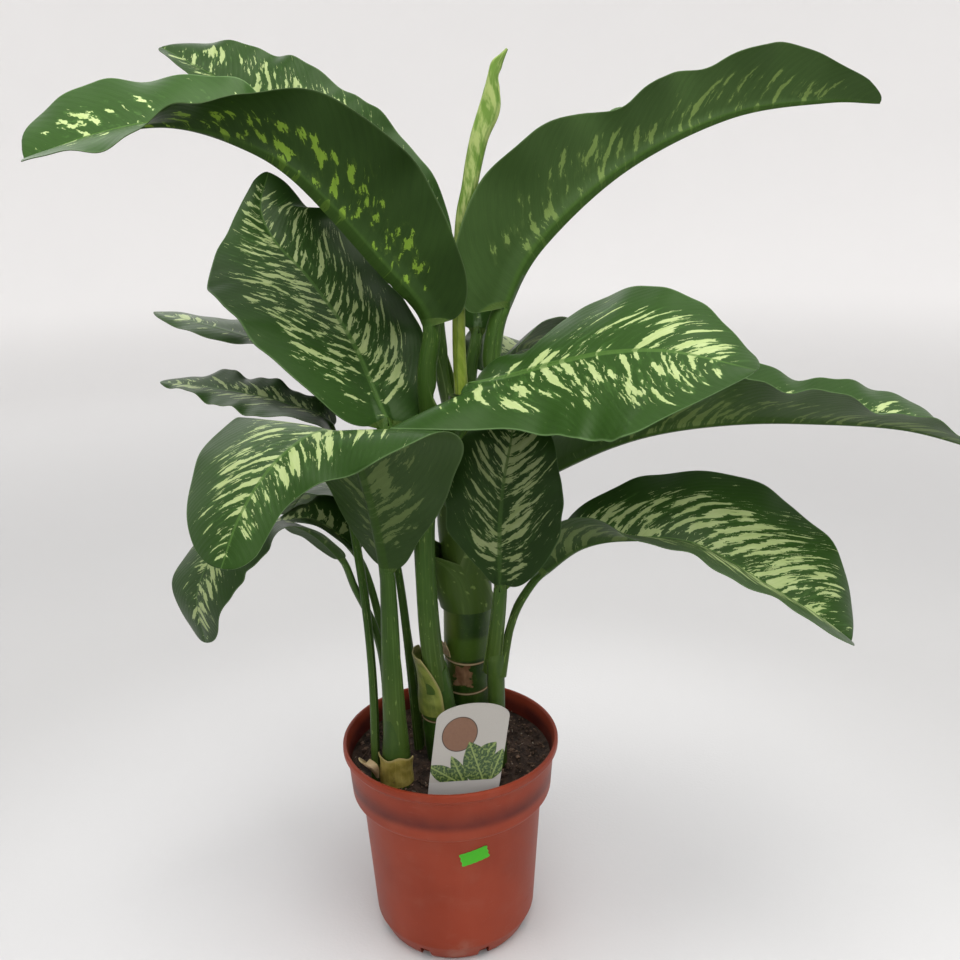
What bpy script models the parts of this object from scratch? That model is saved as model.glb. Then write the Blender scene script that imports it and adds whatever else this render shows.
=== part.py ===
"""Potted dieffenbachia: a nursery pot, soil, canes, leaves, old sheaths and two blank labels."""
import math

import bmesh
import bpy
from mathutils import Vector

# Driving dimensions, in metres.
POT_HEIGHT = 0.205
RIM_RADIUS = 0.105
FOOT_RADIUS = 0.070
SOIL_TOP = 0.183
CANE_BOTTOM = 0.100
FIT_GAP = 0.0004
BLADE_THICKNESS = 0.0014
POT_SIDES = 48
SOIL_SIDES = 40

# Outer and inner outlines of the pot as (radius, height).
POT_OUTER = [
    (FOOT_RADIUS, 0.0), (0.0725, 0.003), (0.0800, 0.019), (0.0885, 0.147), (0.0960, 0.151),
    (0.0978, 0.154), (0.1008, 0.193), (0.1035, 0.196), (RIM_RADIUS, 0.198), (RIM_RADIUS, 0.2035),
    (0.1040, POT_HEIGHT),
]
POT_INNER = [
    (0.1022, POT_HEIGHT), (0.1010, 0.2035), (0.0988, 0.193), (0.0958, 0.1555), (0.0865, 0.150),
    (0.0780, 0.0195), (0.0710, 0.0045), (0.0690, 0.0025),
]
SOIL_OUTLINE = [
    (0.0680, 0.0032), (0.0703, 0.0050), (0.0772, 0.0198), (0.0858, 0.1490), (0.0861, 0.1505), (0.0948, 0.1562),
    (0.0970, SOIL_TOP - 0.002), (0.0960, SOIL_TOP), (0.0700, SOIL_TOP + 0.001),
    (0.0350, SOIL_TOP - 0.001),
]

# Canes as rows of (x, y, z, radius).
MAIN_CANE = [
    (0.0185, 0.033, CANE_BOTTOM, 0.0215), (0.0180, 0.028, 0.180, 0.0220), (0.0170, 0.020, 0.2480, 0.0220),
    (0.0170, 0.020, 0.2505, 0.0234), (0.0170, 0.0195, 0.2530, 0.0222), (0.0180, 0.016, 0.2815, 0.0222),
    (0.0180, 0.016, 0.2840, 0.0240), (0.0185, 0.0155, 0.2870, 0.0228), (0.0200, 0.010, 0.3400, 0.0235),
    (0.0205, 0.004, 0.4000, 0.0215), (0.0210, 0.000, 0.4500, 0.0185), (0.0200, 0.000, 0.5000, 0.0150),
    (0.0190, 0.000, 0.5420, 0.0110),
]
MIDDLE_CANE = [
    (-0.004, 0.000, CANE_BOTTOM, 0.0160), (-0.006, -0.006, 0.1800, 0.0165), (-0.009, -0.012, 0.2200, 0.0168),
    (-0.0095, -0.013, 0.2350, 0.0165), (-0.0095, -0.0135, 0.2370, 0.0178), (-0.0100, -0.014, 0.2395, 0.0165),
    (-0.0120, -0.019, 0.2700, 0.0150), (-0.0130, -0.024, 0.2900, 0.0125),
]
LEFT_CANE = [
    (-0.050, -0.042, CANE_BOTTOM, 0.0130), (-0.050, -0.044, 0.1800, 0.0140), (-0.0495, -0.045, 0.2100, 0.0136),
    (-0.0490, -0.045, 0.2450, 0.0118),
]
RIGHT_SHOOT = [
    (0.0460, -0.018, CANE_BOTTOM, 0.0080), (0.0460, -0.022, 0.1900, 0.0085), (0.0450, -0.027, 0.2500, 0.0082),
    (0.0450, -0.031, 0.3040, 0.0078),
]

# Leaves: heading in degrees, half widths, basal lobes, outline powers, width factors of the
# left and right halves spread evenly from base to tip, stalk radius,
# stalk points, and blade rows of (x, y, z, left fold, right fold).
LEAVES = {
    "leaf_upper_left": dict(
        heading=187, half=(0.070, 0.066), lobe=(0.5, 0.3), power=(0.40, 0.30), stalk_radius=0.0095,
        trim=((1.0, 1.12, 1.12, 0.88, 0.52, 0.60, 0.9, 1.0), (1.0, 1.0, 1.0, 0.92, 0.80, 0.85, 1.05, 1.0)),
        stalk=[(-0.0057, -0.0117, 0.480), (-0.0100, -0.018, 0.560)],
        blade=[(-0.006, -0.020, 0.612, 60, 35), (-0.045, -0.025, 0.659, 85, 40),
               (-0.105, -0.035, 0.727, 85, 40), (-0.150, -0.042, 0.755, 60, 45),
               (-0.200, -0.048, 0.768, 0, 45), (-0.250, -0.058, 0.761, -12, 40),
               (-0.305, -0.070, 0.743, -8, 45)]),
    "leaf_upper_left_back": dict(
        heading=147, half=(0.060, 0.050), lobe=(0.3, 0.3), power=(0.45, 0.40), stalk_radius=0.007,
        trim=((1.0, 1.0, 0.8, 0.45, 0.35), (1.0, 1.0, 1.0, 1.1, 1.1)),
        stalk=[(0.008, 0.022, 0.500), (0.000, 0.042, 0.580)],
        blade=[(-0.008, 0.055, 0.640, 30, 50), (-0.045, 0.085, 0.710, 20, 55),
               (-0.120, 0.130, 0.775, 0, 50), (-0.200, 0.165, 0.818, -5, 45),
               (-0.270, 0.190, 0.856, -5, 20)]),
    "leaf_upper_right": dict(
        heading=12, half=(0.055, 0.064), lobe=(0.4, 0.9), power=(0.32, 0.32), stalk_radius=0.0095,
        trim=((1.0, 1.0, 1.0, 0.9, 0.9, 0.8, 0.8), (1.0, 1.15, 1.25, 1.1, 0.68, 0.80, 0.60, 0.80, 0.72, 0.52, 0.25)),
        stalk=[(0.0445, -0.012, 0.500), (0.0465, -0.007, 0.580)],
        blade=[(0.058, 0.002, 0.622, 35, 60), (0.090, 0.015, 0.672, 40, 80),
               (0.165, 0.038, 0.733, 40, 75), (0.260, 0.060, 0.774, 40, 75),
               (0.350, 0.080, 0.785, 35, 65), (0.402, 0.090, 0.783, 20, 50)]),
    "leaf_left_tall": dict(
        heading=128, half=(0.085, 0.085), lobe=(0.3, 0.3), power=(0.45, 0.55), stalk_radius=0.0080,
        trim=((1.0, 1.0, 1.05, 1.12, 1.15, 1.18, 1.15, 0.90, 0.50, 0.22, 0.2), (0.8, 0.8, 0.82, 0.84, 0.95, 0.95, 0.9)),
        stalk=[(-0.0150, -0.008, 0.370), (-0.0358, -0.0322, 0.450), (-0.045, -0.034, 0.500)],
        blade=[(-0.048, -0.028, 0.525, 15, 15), (-0.078, 0.020, 0.588, 8, 8),
               (-0.120, 0.064, 0.640, 5, 8), (-0.155, 0.094, 0.674, 0, 15),
               (-0.169, 0.114, 0.704, -5, 22), (-0.163, 0.134, 0.736, -8, 16)]),
    "leaf_left_slim": dict(
        heading=163, half=(0.038, 0.042), lobe=(0.2, 0.2), power=(0.50, 0.70), stalk_radius=0.005,
        trim=((1.0, 0.9, 0.5, 0.30, 0.65, 0.8, 0.8), (1.0, 1.0)),
        stalk=[(-0.004, 0.014, 0.430), (-0.045, 0.035, 0.500)],
        blade=[(-0.085, 0.052, 0.538, 10, 10), (-0.135, 0.070, 0.570, -5, 5),
               (-0.195, 0.088, 0.588, -10, 5), (-0.240, 0.100, 0.599, -10, 5),
               (-0.280, 0.110, 0.608, 0, 0)]),
    "leaf_left_mid": dict(
        heading=178, half=(0.055, 0.055), lobe=(0.3, 0.3), power=(0.50, 0.75), stalk_radius=0.0045,
        trim=((0.9, 0.85, 0.75, 0.60, 0.38, 0.4), (0.7, 0.5, 0.5, 0.65, 1.1, 0.8)),
        stalk=[(-0.070, -0.034, 0.195), (-0.070, -0.022, 0.280), (-0.076, -0.007, 0.360),
               (-0.087, 0.000, 0.450)],
        blade=[(-0.099, 0.002, 0.515, 10, 15), (-0.135, 0.000, 0.536, 0, 20),
               (-0.175, 0.005, 0.546, -8, 20), (-0.215, 0.010, 0.552, -8, 10),
               (-0.250, 0.015, 0.556, -5, 5)]),
    "leaf_left_front": dict(
        heading=235, half=(0.080, 0.095), lobe=(0.3, 0.3), power=(0.45, 0.45), stalk_radius=0.0092,
        trim=((0.4, 0.55, 0.85, 1.0, 1.15, 1.05, 0.75, 0.5, 0.35, 0.38, 0.5), (0.55, 0.6, 0.8, 1.0, 0.93, 0.6)),
        stalk=[(-0.0490, -0.0450, 0.2460), (-0.0495, -0.0450, 0.310), (-0.049, -0.046, 0.370)],
        blade=[(-0.050, -0.048, 0.400, 20, 20), (-0.058, -0.060, 0.465, 15, 5),
               (-0.070, -0.080, 0.520, 14, 0), (-0.090, -0.108, 0.536, -2, 0),
               (-0.118, -0.138, 0.522, -15, -5), (-0.140, -0.170, 0.492, -30, -3),
               (-0.152, -0.195, 0.458, -20, 0)]),
    "leaf_left_low": dict(
        heading=222, half=(0.050, 0.045), lobe=(0.3, 0.3), power=(0.50, 0.42), stalk_radius=0.004,
        trim=((0.6, 0.6, 0.9, 1.0, 1.1, 1.0), (0.8, 0.8, 1.0, 1.05, 1.1, 1.0)),
        stalk=[(-0.060, -0.020, 0.186), (-0.060, -0.008, 0.270), (-0.068, -0.004, 0.320),
               (-0.085, 0.000, 0.360)],
        blade=[(-0.096, -0.003, 0.392, 10, -10), (-0.125, -0.006, 0.422, 0, -15),
               (-0.162, -0.012, 0.432, -5, -10), (-0.200, -0.030, 0.412, -5, -5),
               (-0.217, -0.050, 0.378, 0, 0), (-0.211, -0.060, 0.336, 0, 0)]),
    "leaf_left_low_back": dict(
        heading=155, half=(0.038, 0.050), lobe=(0.3, 0.3), power=(0.50, 0.60), stalk_radius=0.004,
        trim=((1.0, 1.0), (1.0, 1.0)),
        stalk=[(-0.052, 0.005, 0.186), (-0.060, 0.012, 0.280), (-0.072, 0.020, 0.350)],
        blade=[(-0.090, 0.038, 0.384, 30, 30), (-0.128, 0.062, 0.406, 20, 30),
               (-0.166, 0.085, 0.398, -5, 10), (-0.200, 0.110, 0.375, -5, 5),
               (-0.225, 0.130, 0.340, 0, 0)]),
    "leaf_left_inner": dict(
        heading=135, half=(0.045, 0.045), lobe=(0.3, 0.3), power=(0.50, 0.60), stalk_radius=0.004,
        trim=((1.0, 1.0), (1.0, 1.0)),
        stalk=[(-0.032, 0.010, 0.186), (-0.040, 0.022, 0.300), (-0.048, 0.035, 0.370)],
        blade=[(-0.060, 0.052, 0.420, 10, 10), (-0.086, 0.080, 0.436, 0, 0),
               (-0.118, 0.112, 0.434, 0, 0), (-0.152, 0.146, 0.412, 0, 0),
               (-0.178, 0.176, 0.378, 0, 0)]),
    "leaf_centre_low": dict(
        heading=80, half=(0.051, 0.050), lobe=(0.2, 0.2), power=(0.40, 0.60), stalk_radius=0.0060,
        trim=((0.2, 0.35, 0.6, 0.86, 0.87, 0.88, 0.93, 1.0, 1.0, 1.0, 1.0), (0.6, 0.9, 1.0, 1.0, 1.0, 1.0)),
        stalk=[(0.0435, -0.033, 0.3062), (0.047, -0.047, 0.345), (0.049, -0.053, 0.368)],
        blade=[(0.050, -0.055, 0.385, 20, 20), (0.050, -0.057, 0.431, 8, 8),
               (0.054, -0.053, 0.475, 5, 5), (0.061, -0.045, 0.510, 5, 5),
               (0.066, -0.032, 0.540, 0, 0)]),
    "leaf_right_low": dict(
        heading=-8, half=(0.085, 0.070), lobe=(0.3, 0.3), power=(0.45, 0.36), stalk_radius=0.0045,
        trim=((0.6, 0.6, 0.7, 0.87, 1.0, 1.08, 1.18, 1.22, 1.15, 1.0, 1.0), (1.0, 1.0)),
        stalk=[(0.0537, -0.0255, 0.3055), (0.0580, -0.022, 0.325), (0.066, -0.021, 0.347),
               (0.080, -0.021, 0.370)],
        blade=[(0.092, -0.021, 0.382, 20, 60), (0.124, -0.021, 0.405, 30, 50),
               (0.165, -0.022, 0.412, 32, 24), (0.225, -0.032, 0.408, 35, 10),
               (0.282, -0.052, 0.378, 35, 10), (0.325, -0.070, 0.354, 35, 10),
               (0.352, -0.080, 0.334, 20, 10)]),
    "leaf_right_mid": dict(
        heading=-25, half=(0.080, 0.085), lobe=(0.2, 1.7), power=(0.45, 0.55), stalk_radius=0.0100,
        trim=((0.9, 0.75, 0.38, 0.75, 1.0, 1.0, 0.96, 0.92, 0.75, 0.65, 0.7),
              (1.05, 0.9, 0.76, 0.84, 0.88, 0.94, 1.03, 1.2, 1.40, 1.5, 1.5)),
        stalk=[(-0.0135, -0.0268, 0.2925), (-0.0162, -0.0345, 0.340), (-0.0170, -0.038, 0.406),
               (-0.0130, -0.041, 0.455), (0.002, -0.047, 0.500), (0.021, -0.058, 0.535)],
        blade=[(0.031, -0.060, 0.556, 20, 8), (0.068, -0.070, 0.571, 28, -26),
               (0.100, -0.082, 0.582, 30, -35), (0.137, -0.102, 0.592, 30, -35),
               (0.178, -0.130, 0.596, 28, -30), (0.230, -0.168, 0.588, 10, -10)]),
    "leaf_right_far": dict(
        heading=-3, half=(0.070, 0.075), lobe=(0.3, 0.3), power=(0.40, 0.45), stalk_radius=0.006,
        trim=((1.0, 1.0, 1.0, 1.15, 0.95, 1.3, 1.3), (1.0, 1.0)),
        stalk=[(0.0425, 0.0150, 0.420), (0.070, 0.028, 0.447)],
        blade=[(0.100, 0.030, 0.462, 30, 50), (0.155, 0.030, 0.486, 35, 50),
               (0.205, 0.030, 0.499, 30, 45), (0.268, 0.030, 0.505, 30, 42),
               (0.330, 0.022, 0.506, 28, 32), (0.418, 0.010, 0.500, 20, 20),
               (0.490, 0.000, 0.480, 0, 10)]),
    "leaf_back_right": dict(
        heading=64, half=(0.056, 0.054), lobe=(0.3, 0.3), power=(0.50, 0.60), stalk_radius=0.006,
        trim=((1.0, 1.0), (1.0, 1.0)),
        stalk=[(0.0378, 0.0182, 0.470), (0.044, 0.038, 0.522)],
        blade=[(0.050, 0.056, 0.551, 20, 50), (0.070, 0.100, 0.565, 20, 40),
               (0.095, 0.150, 0.560, 10, 20), (0.120, 0.200, 0.535, 0, 10),
               (0.140, 0.240, 0.495, 0, 0)]),
    "leaf_back_centre": dict(
        heading=112, half=(0.055, 0.055), lobe=(0.3, 0.3), power=(0.50, 0.60), stalk_radius=0.006,
        trim=((1.0, 1.0), (1.0, 1.0)),
        stalk=[(0.0212, 0.0265, 0.470), (0.027, 0.046, 0.550)],
        blade=[(0.034, 0.067, 0.590, 30, 50), (0.027, 0.108, 0.635, 30, 50),
               (0.005, 0.155, 0.655, 10, 30), (-0.015, 0.205, 0.640, 0, 10),
               (-0.035, 0.245, 0.600, 0, 0)]),
}

# The rolled new leaf as rows of (x, y, z, half width, half depth).
SPEAR = [
    (0.0190, 0.000, 0.5430, 0.0060, 0.0060), (0.0180, 0.001, 0.5850, 0.0056, 0.0056),
    (0.0190, 0.002, 0.6300, 0.0056, 0.0054), (0.0211, 0.003, 0.6660, 0.0058, 0.0055),
    (0.0244, 0.004, 0.6950, 0.0061, 0.0056), (0.0299, 0.004, 0.7160, 0.0066, 0.0060),
    (0.0343, 0.004, 0.7370, 0.0071, 0.0064), (0.0399, 0.003, 0.7580, 0.0076, 0.0064),
    (0.0478, 0.003, 0.7775, 0.0088, 0.0060), (0.0502, 0.002, 0.7920, 0.0066, 0.0050),
    (0.0513, 0.001, 0.8025, 0.0045, 0.0040), (0.0543, 0.001, 0.8110, 0.0048, 0.0032),
    (0.0588, 0.000, 0.8170, 0.0026, 0.0020), (0.0629, 0.000, 0.8225, 0.0010, 0.0010),
]

# Stake label: card width, thickness, lean from upright in degrees, and where it enters the soil.
LABEL_WIDTH = 0.066
LABEL_THICKNESS = 0.0010
LABEL_LEAN = 11.0
LABEL_FOOT = (0.0115, -0.0835, 0.1840)
STICKER_SIZE = (0.0265, 0.0140, 0.0004)
STICKER_HEIGHT = 0.1270
STICKER_TURN = -75.5
STICKER_TILT = 13.0

# How far along the blade its cross sections stand, from base to tip.
BLADE_STATIONS = [0.02, 0.07, 0.15, 0.26, 0.38, 0.50, 0.62, 0.74, 0.85, 0.94, 0.985]


def clear_scene():
    for obj in list(bpy.data.objects):
        bpy.data.objects.remove(obj, do_unlink=True)


def add_material(obj, colour, roughness, metallic=0.0):
    material = bpy.data.materials.new(obj.name + "_material")
    material.use_nodes = True
    shader = material.node_tree.nodes["Principled BSDF"]
    shader.inputs["Base Color"].default_value = (colour[0], colour[1], colour[2], 1.0)
    shader.inputs["Roughness"].default_value = roughness
    shader.inputs["Metallic"].default_value = metallic
    obj.data.materials.append(material)


def make_object(name, points, faces, colour, roughness):
    mesh = bpy.data.meshes.new(name)
    mesh.from_pydata([tuple(point) for point in points], [], faces)
    body = bmesh.new()
    body.from_mesh(mesh)
    bmesh.ops.recalc_face_normals(body, faces=body.faces)
    body.to_mesh(mesh)
    body.free()
    mesh.shade_smooth()
    mesh.set_sharp_from_angle(angle=math.radians(38))
    obj = bpy.data.objects.new(name, mesh)
    bpy.context.scene.collection.objects.link(obj)
    add_material(obj, colour, roughness)
    return obj


def catmull(rows, steps):
    first = [2 * a - b for a, b in zip(rows[0], rows[1])]
    last = [2 * a - b for a, b in zip(rows[-1], rows[-2])]
    line = [first] + [list(row) for row in rows] + [last]
    result = []
    for index in range(1, len(line) - 2):
        p0, p1, p2, p3 = line[index - 1:index + 3]
        for step in range(steps):
            t = step / steps
            row = []
            for a, b, c, d in zip(p0, p1, p2, p3):
                value = 2 * b + (c - a) * t + (2 * a - 5 * b + 4 * c - d) * t * t
                value += (3 * b - a - 3 * c + d) * t ** 3
                row.append(0.5 * value)
            result.append(row)
    result.append(list(rows[-1]))
    return result


def path_lengths(rows):
    total = [0.0]
    for a, b in zip(rows, rows[1:]):
        total.append(total[-1] + (Vector(b[:3]) - Vector(a[:3])).length)
    return total


def sample(rows, lengths, distance):
    distance = min(max(distance, 0.0), lengths[-1])
    index = 0
    while index < len(rows) - 2 and lengths[index + 1] < distance:
        index += 1
    span = lengths[index + 1] - lengths[index]
    t = (distance - lengths[index]) / span
    return [a + (b - a) * t for a, b in zip(rows[index], rows[index + 1])]


def bridge(ring_count, ring_size, end_tip=False):
    """Faces between equal rings, closed by a flat cap and a flat cap or a single tip point.

    The two halves of a ring split their quads along matching diagonals, so a thin sheet's
    faces stay parallel.
    """
    faces = []
    for ring in range(ring_count - 1):
        for k in range(ring_size):
            a = ring * ring_size + k
            b = ring * ring_size + (k + 1) % ring_size
            if not end_tip:
                faces.append((a, b, b + ring_size, a + ring_size))
            elif k < ring_size // 2:
                faces.append((a, b, b + ring_size))
                faces.append((a, b + ring_size, a + ring_size))
            else:
                faces.append((a, b, a + ring_size))
                faces.append((b, b + ring_size, a + ring_size))
    faces.append(tuple(reversed(range(ring_size))))
    last = (ring_count - 1) * ring_size
    if end_tip:
        tip = ring_count * ring_size
        for k in range(ring_size):
            faces.append((last + k, last + (k + 1) % ring_size, tip))
    else:
        faces.append(tuple(range(last, last + ring_size)))
    return faces


def lathe(name, rings, sides, colour, roughness):
    points = []
    for radius, height in rings:
        for k in range(sides):
            angle = 2 * math.pi * k / sides
            points.append((radius * math.cos(angle), radius * math.sin(angle), height))
    faces = bridge(len(rings), sides)
    return make_object(name, points, faces, colour, roughness)


def tube(name, rows, sides, colour, roughness, extra=0.0):
    """A cane: rings square to a nearly upright path; extra swells it for cutting sockets."""
    points = []
    for index, row in enumerate(rows):
        before = Vector(rows[max(index - 1, 0)][:3])
        after = Vector(rows[min(index + 1, len(rows) - 1)][:3])
        along = (after - before).normalized()
        side = (Vector((1, 0, 0)) - along * along.x).normalized()
        up = along.cross(side)
        radius = row[3] + extra
        deep = (row[4] if len(row) > 4 else row[3]) + extra
        for k in range(sides):
            angle = 2 * math.pi * k / sides
            offset = side * math.cos(angle) * radius + up * math.sin(angle) * deep
            points.append(Vector(row[:3]) + offset)
    return make_object(name, points, bridge(len(rows), sides), colour, roughness)


def outline_width(s, power):
    peak = power[0] / (power[0] + power[1])
    return (s / peak) ** power[0] * ((1 - s) / (1 - peak)) ** power[1]


def trim_width(s, factors):
    """Width factor at s, from factors spread evenly from the base to the tip."""
    line = catmull([(value,) for value in factors], 8)
    spot = s * (len(line) - 1)
    index = min(int(spot), len(line) - 2)
    return line[index][0] + (line[index + 1][0] - line[index][0]) * (spot - index)


def leaf_frame(rows, lengths, distance, heading):
    here = sample(rows, lengths, distance)
    before = Vector(sample(rows, lengths, distance - 0.005)[:3])
    after = Vector(sample(rows, lengths, distance + 0.005)[:3])
    along = (after - before).normalized()
    turn = math.radians(heading)
    side = Vector((-math.sin(turn), math.cos(turn), 0.0))
    side = (side - along * side.dot(along)).normalized()
    return here, along, side, along.cross(side)


def half_section(frame, level, sign, width, lobe, fold, s, curl=-15.0):
    """Point and face direction on one half of the blade, folded at the midrib, curled to the margin."""
    here, along, side, up = frame
    place = Vector(here[:3])
    done = 0.0
    face = up
    for stop in (0.6, 1.0):
        step = min(level, stop) - done
        if step <= 0:
            break
        angle = math.radians(fold + curl * (done + step / 2 - 0.4))
        place += (side * sign * math.cos(angle) + up * math.sin(angle)) * width * step
        face = up * math.cos(angle) - side * sign * math.sin(angle)
        done += step
    back = lobe * width * level ** 1.5 * math.exp(-(s / 0.16) ** 2)
    return place - along * back, face


def blade_ring(frame, leaf, s):
    """Twelve points: the upper face from margin to margin, then the lower face back."""
    here, along, side, up = frame
    spread = outline_width(s, leaf["power"])
    stem = leaf["stalk_radius"]
    rib = stem * (1 - s) ** 0.8 * 1.3 + 0.0006
    top_swell = stem * math.exp(-s / 0.05)
    half = BLADE_THICKNESS / 2
    upper = []
    lower = []
    for sign, index in ((1, 0), (-1, 1)):
        width = leaf["half"][index] * spread * trim_width(s, leaf["trim"][index]) + stem * 0.6
        near = min(0.42, max(rib * 1.5, 0.004) / width)
        row_up = []
        row_low = []
        for level in (1.0, 0.6, near):
            place, face = half_section(frame, level, sign, width, leaf["lobe"][index], here[3 + index], s)
            fade = math.sqrt(max(1 - level * level, 0.0))
            row_up.append(place + face * (half + top_swell * 0.4) * fade)
            row_low.append(place - face * half * fade)
        upper.append(row_up)
        lower.append(row_low)
    centre = Vector(here[:3])
    top = centre + up * (half + top_swell)
    bottom = centre - up * (half + rib)
    ring = upper[0] + [top] + upper[1][::-1]
    return ring + [lower[1][1], lower[1][2], bottom, lower[0][2], lower[0][1]]


def stalk_ring(frame, radius):
    here, along, side, up = frame
    ring = []
    for k in range(12):
        angle = 2 * math.pi * k / 12
        offset = side * math.cos(angle) * radius * 1.05 + up * math.sin(angle) * radius * 0.95
        ring.append(Vector(here[:3]) + offset)
    return ring


def build_leaf(name, leaf, colour):
    first = leaf["blade"][0]
    rows = [tuple(point) + first[3:5] for point in leaf["stalk"]] + leaf["blade"]
    line = catmull(rows, 12)
    lengths = path_lengths(line)
    start = lengths[12 * len(leaf["stalk"])]
    span = lengths[-1] - start
    points = []
    count = 0
    stalk_rings = 2 + int(start / 0.06)
    for k in range(stalk_rings):
        distance = start * k / stalk_rings
        frame = leaf_frame(line, lengths, distance, leaf["heading"])
        points += stalk_ring(frame, leaf["stalk_radius"] * (1.12 - 0.32 * k / stalk_rings))
        count += 1
    for s in BLADE_STATIONS:
        frame = leaf_frame(line, lengths, start + span * s, leaf["heading"])
        points += blade_ring(frame, leaf, s)
        count += 1
    points.append(Vector(line[-1][:3]))
    return make_object(name, points, bridge(count, 12, end_tip=True), colour, 0.42)


def plate(name, rows, thickness, colour, roughness):
    """A thin sheet: each row is a list of points across it, thickened along its normals."""
    count = len(rows)
    width = len(rows[0])
    grid = [[Vector(point) for point in row] for row in rows]
    front = []
    back = []
    for i in range(count):
        for j in range(width):
            down = grid[min(i + 1, count - 1)][j] - grid[max(i - 1, 0)][j]
            across = grid[i][min(j + 1, width - 1)] - grid[i][max(j - 1, 0)]
            normal = down.cross(across).normalized() * thickness / 2
            front.append(grid[i][j] + normal)
            back.append(grid[i][j] - normal)
    faces = []
    size = count * width
    for i in range(count - 1):
        for j in range(width - 1):
            a = i * width + j
            faces.append((a, a + 1, a + width + 1, a + width))
            faces.append((size + a + width, size + a + width + 1, size + a + 1, size + a))
    edge = [j for j in range(width)]
    edge += [i * width + width - 1 for i in range(1, count)]
    edge += [(count - 1) * width + j for j in range(width - 2, -1, -1)]
    edge += [i * width for i in range(count - 2, 0, -1)]
    for a, b in zip(edge, edge[1:] + edge[:1]):
        faces.append((a, size + a, size + b, b))
    return make_object(name, front + back, faces, colour, roughness)


def wrap_rows(axis_rows, turn_start, turn_end, across, flare):
    """Rows of points on an open sleeve about a path of (x, y, z, radius)."""
    rows = []
    for index, (x, y, z, radius) in enumerate(axis_rows):
        row = []
        for k in range(across):
            t = k / (across - 1)
            angle = math.radians(turn_start + (turn_end - turn_start) * t)
            reach = radius + flare * abs(2 * t - 1) ** 2 * index / (len(axis_rows) - 1)
            row.append((x + reach * math.cos(angle), y + reach * math.sin(angle), z))
        rows.append(row)
    return rows


def cut_with(target, cutters):
    for cutter in cutters:
        cutter.hide_render = True
        cutter.display_type = "WIRE"
        tool = target.modifiers.new("cut_" + cutter.name, "BOOLEAN")
        tool.operation = "DIFFERENCE"
        tool.solver = "EXACT"
        tool.object = cutter


def box(name, low, high, colour=(0.5, 0.5, 0.5)):
    points = [(x, y, z) for x in (low[0], high[0]) for y in (low[1], high[1]) for z in (low[2], high[2])]
    faces = [(0, 1, 3, 2), (4, 6, 7, 5), (0, 4, 5, 1), (2, 3, 7, 6), (0, 2, 6, 4), (1, 5, 7, 3)]
    return make_object(name, points, faces, colour, 0.5)


def build_pot():
    outline = POT_OUTER + POT_INNER
    pot = lathe("pot", outline, POT_SIDES, (0.20, 0.045, 0.022), 0.45)
    cutters = []
    for k in range(8):
        angle = math.radians(22.5 + 45 * k)
        slot = box("drain_slot_%d" % k, (0.066, -0.005, -0.002), (0.083, 0.005, 0.012))
        slot.rotation_euler = (0.0, 0.0, angle)
        cutters.append(slot)
    cut_with(pot, cutters)


def label_point(across, up, out=0.0):
    lean = math.radians(LABEL_LEAN)
    x, y, z = LABEL_FOOT
    return (x + across + up * 0.15, y + up * math.sin(lean) - out * math.cos(lean),
            z + up * math.cos(lean) + across * 0.05)


def label_outline():
    half = LABEL_WIDTH / 2
    side = [(-half * 0.10, -0.024), (-half * 0.28, -0.016), (-half * 0.28, 0.000), (-half * 0.96, 0.003)]
    side += [(-half * 0.98, 0.020), (-half, 0.078)]
    arch = []
    for k in range(1, 8):
        turn = math.pi * (1 - k / 8)
        arch.append((math.cos(turn) * half, 0.078 + math.sin(turn) * 0.014))
    return side + arch + [(-x, up) for x, up in reversed(side)]


def build_label(name, extra, colour):
    outline = label_outline()
    if extra:
        outline = [(-0.0100, -0.0245), (-0.0100, 0.0300), (0.0100, 0.0300), (0.0100, -0.0245)]
    thick = LABEL_THICKNESS / 2 + extra
    points = [label_point(x, up, thick) for x, up in outline]
    points += [label_point(x, up, -thick) for x, up in outline]
    count = len(outline)
    faces = [tuple(range(count)), tuple(reversed(range(count, 2 * count)))]
    for k in range(count):
        other = (k + 1) % count
        faces.append((k, k + count, other + count, other))
    return make_object(name, points, faces, colour, 0.35)


def build_soil():
    rings = SOIL_OUTLINE + [(0.006, SOIL_TOP + 0.001)]
    soil = lathe("soil", rings, SOIL_SIDES, (0.022, 0.013, 0.009), 0.95)
    cutters = []
    for name, rows in (("main", MAIN_CANE), ("middle", MIDDLE_CANE), ("left", LEFT_CANE),
                       ("right", RIGHT_SHOOT)):
        deep = [(rows[0][0], rows[0][1], rows[0][2] - FIT_GAP, rows[0][3])] + list(rows[1:])
        cutters.append(tube("socket_" + name, deep, 20, (0.5, 0.5, 0.5), 0.5, extra=FIT_GAP * 1.4))
    cutters.append(build_label("socket_label", FIT_GAP, (0.5, 0.5, 0.5)))
    cut_with(soil, cutters)


def build_canes():
    tube("main_cane", MAIN_CANE, 20, (0.045, 0.110, 0.018), 0.45)
    tube("middle_cane", MIDDLE_CANE, 16, (0.035, 0.095, 0.016), 0.45)
    tube("left_cane", LEFT_CANE, 16, (0.050, 0.130, 0.022), 0.45)
    tube("right_shoot", RIGHT_SHOOT, 12, (0.040, 0.110, 0.018), 0.45)
    tube("spear_leaf", SPEAR, 12, (0.230, 0.420, 0.080), 0.45)


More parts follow.
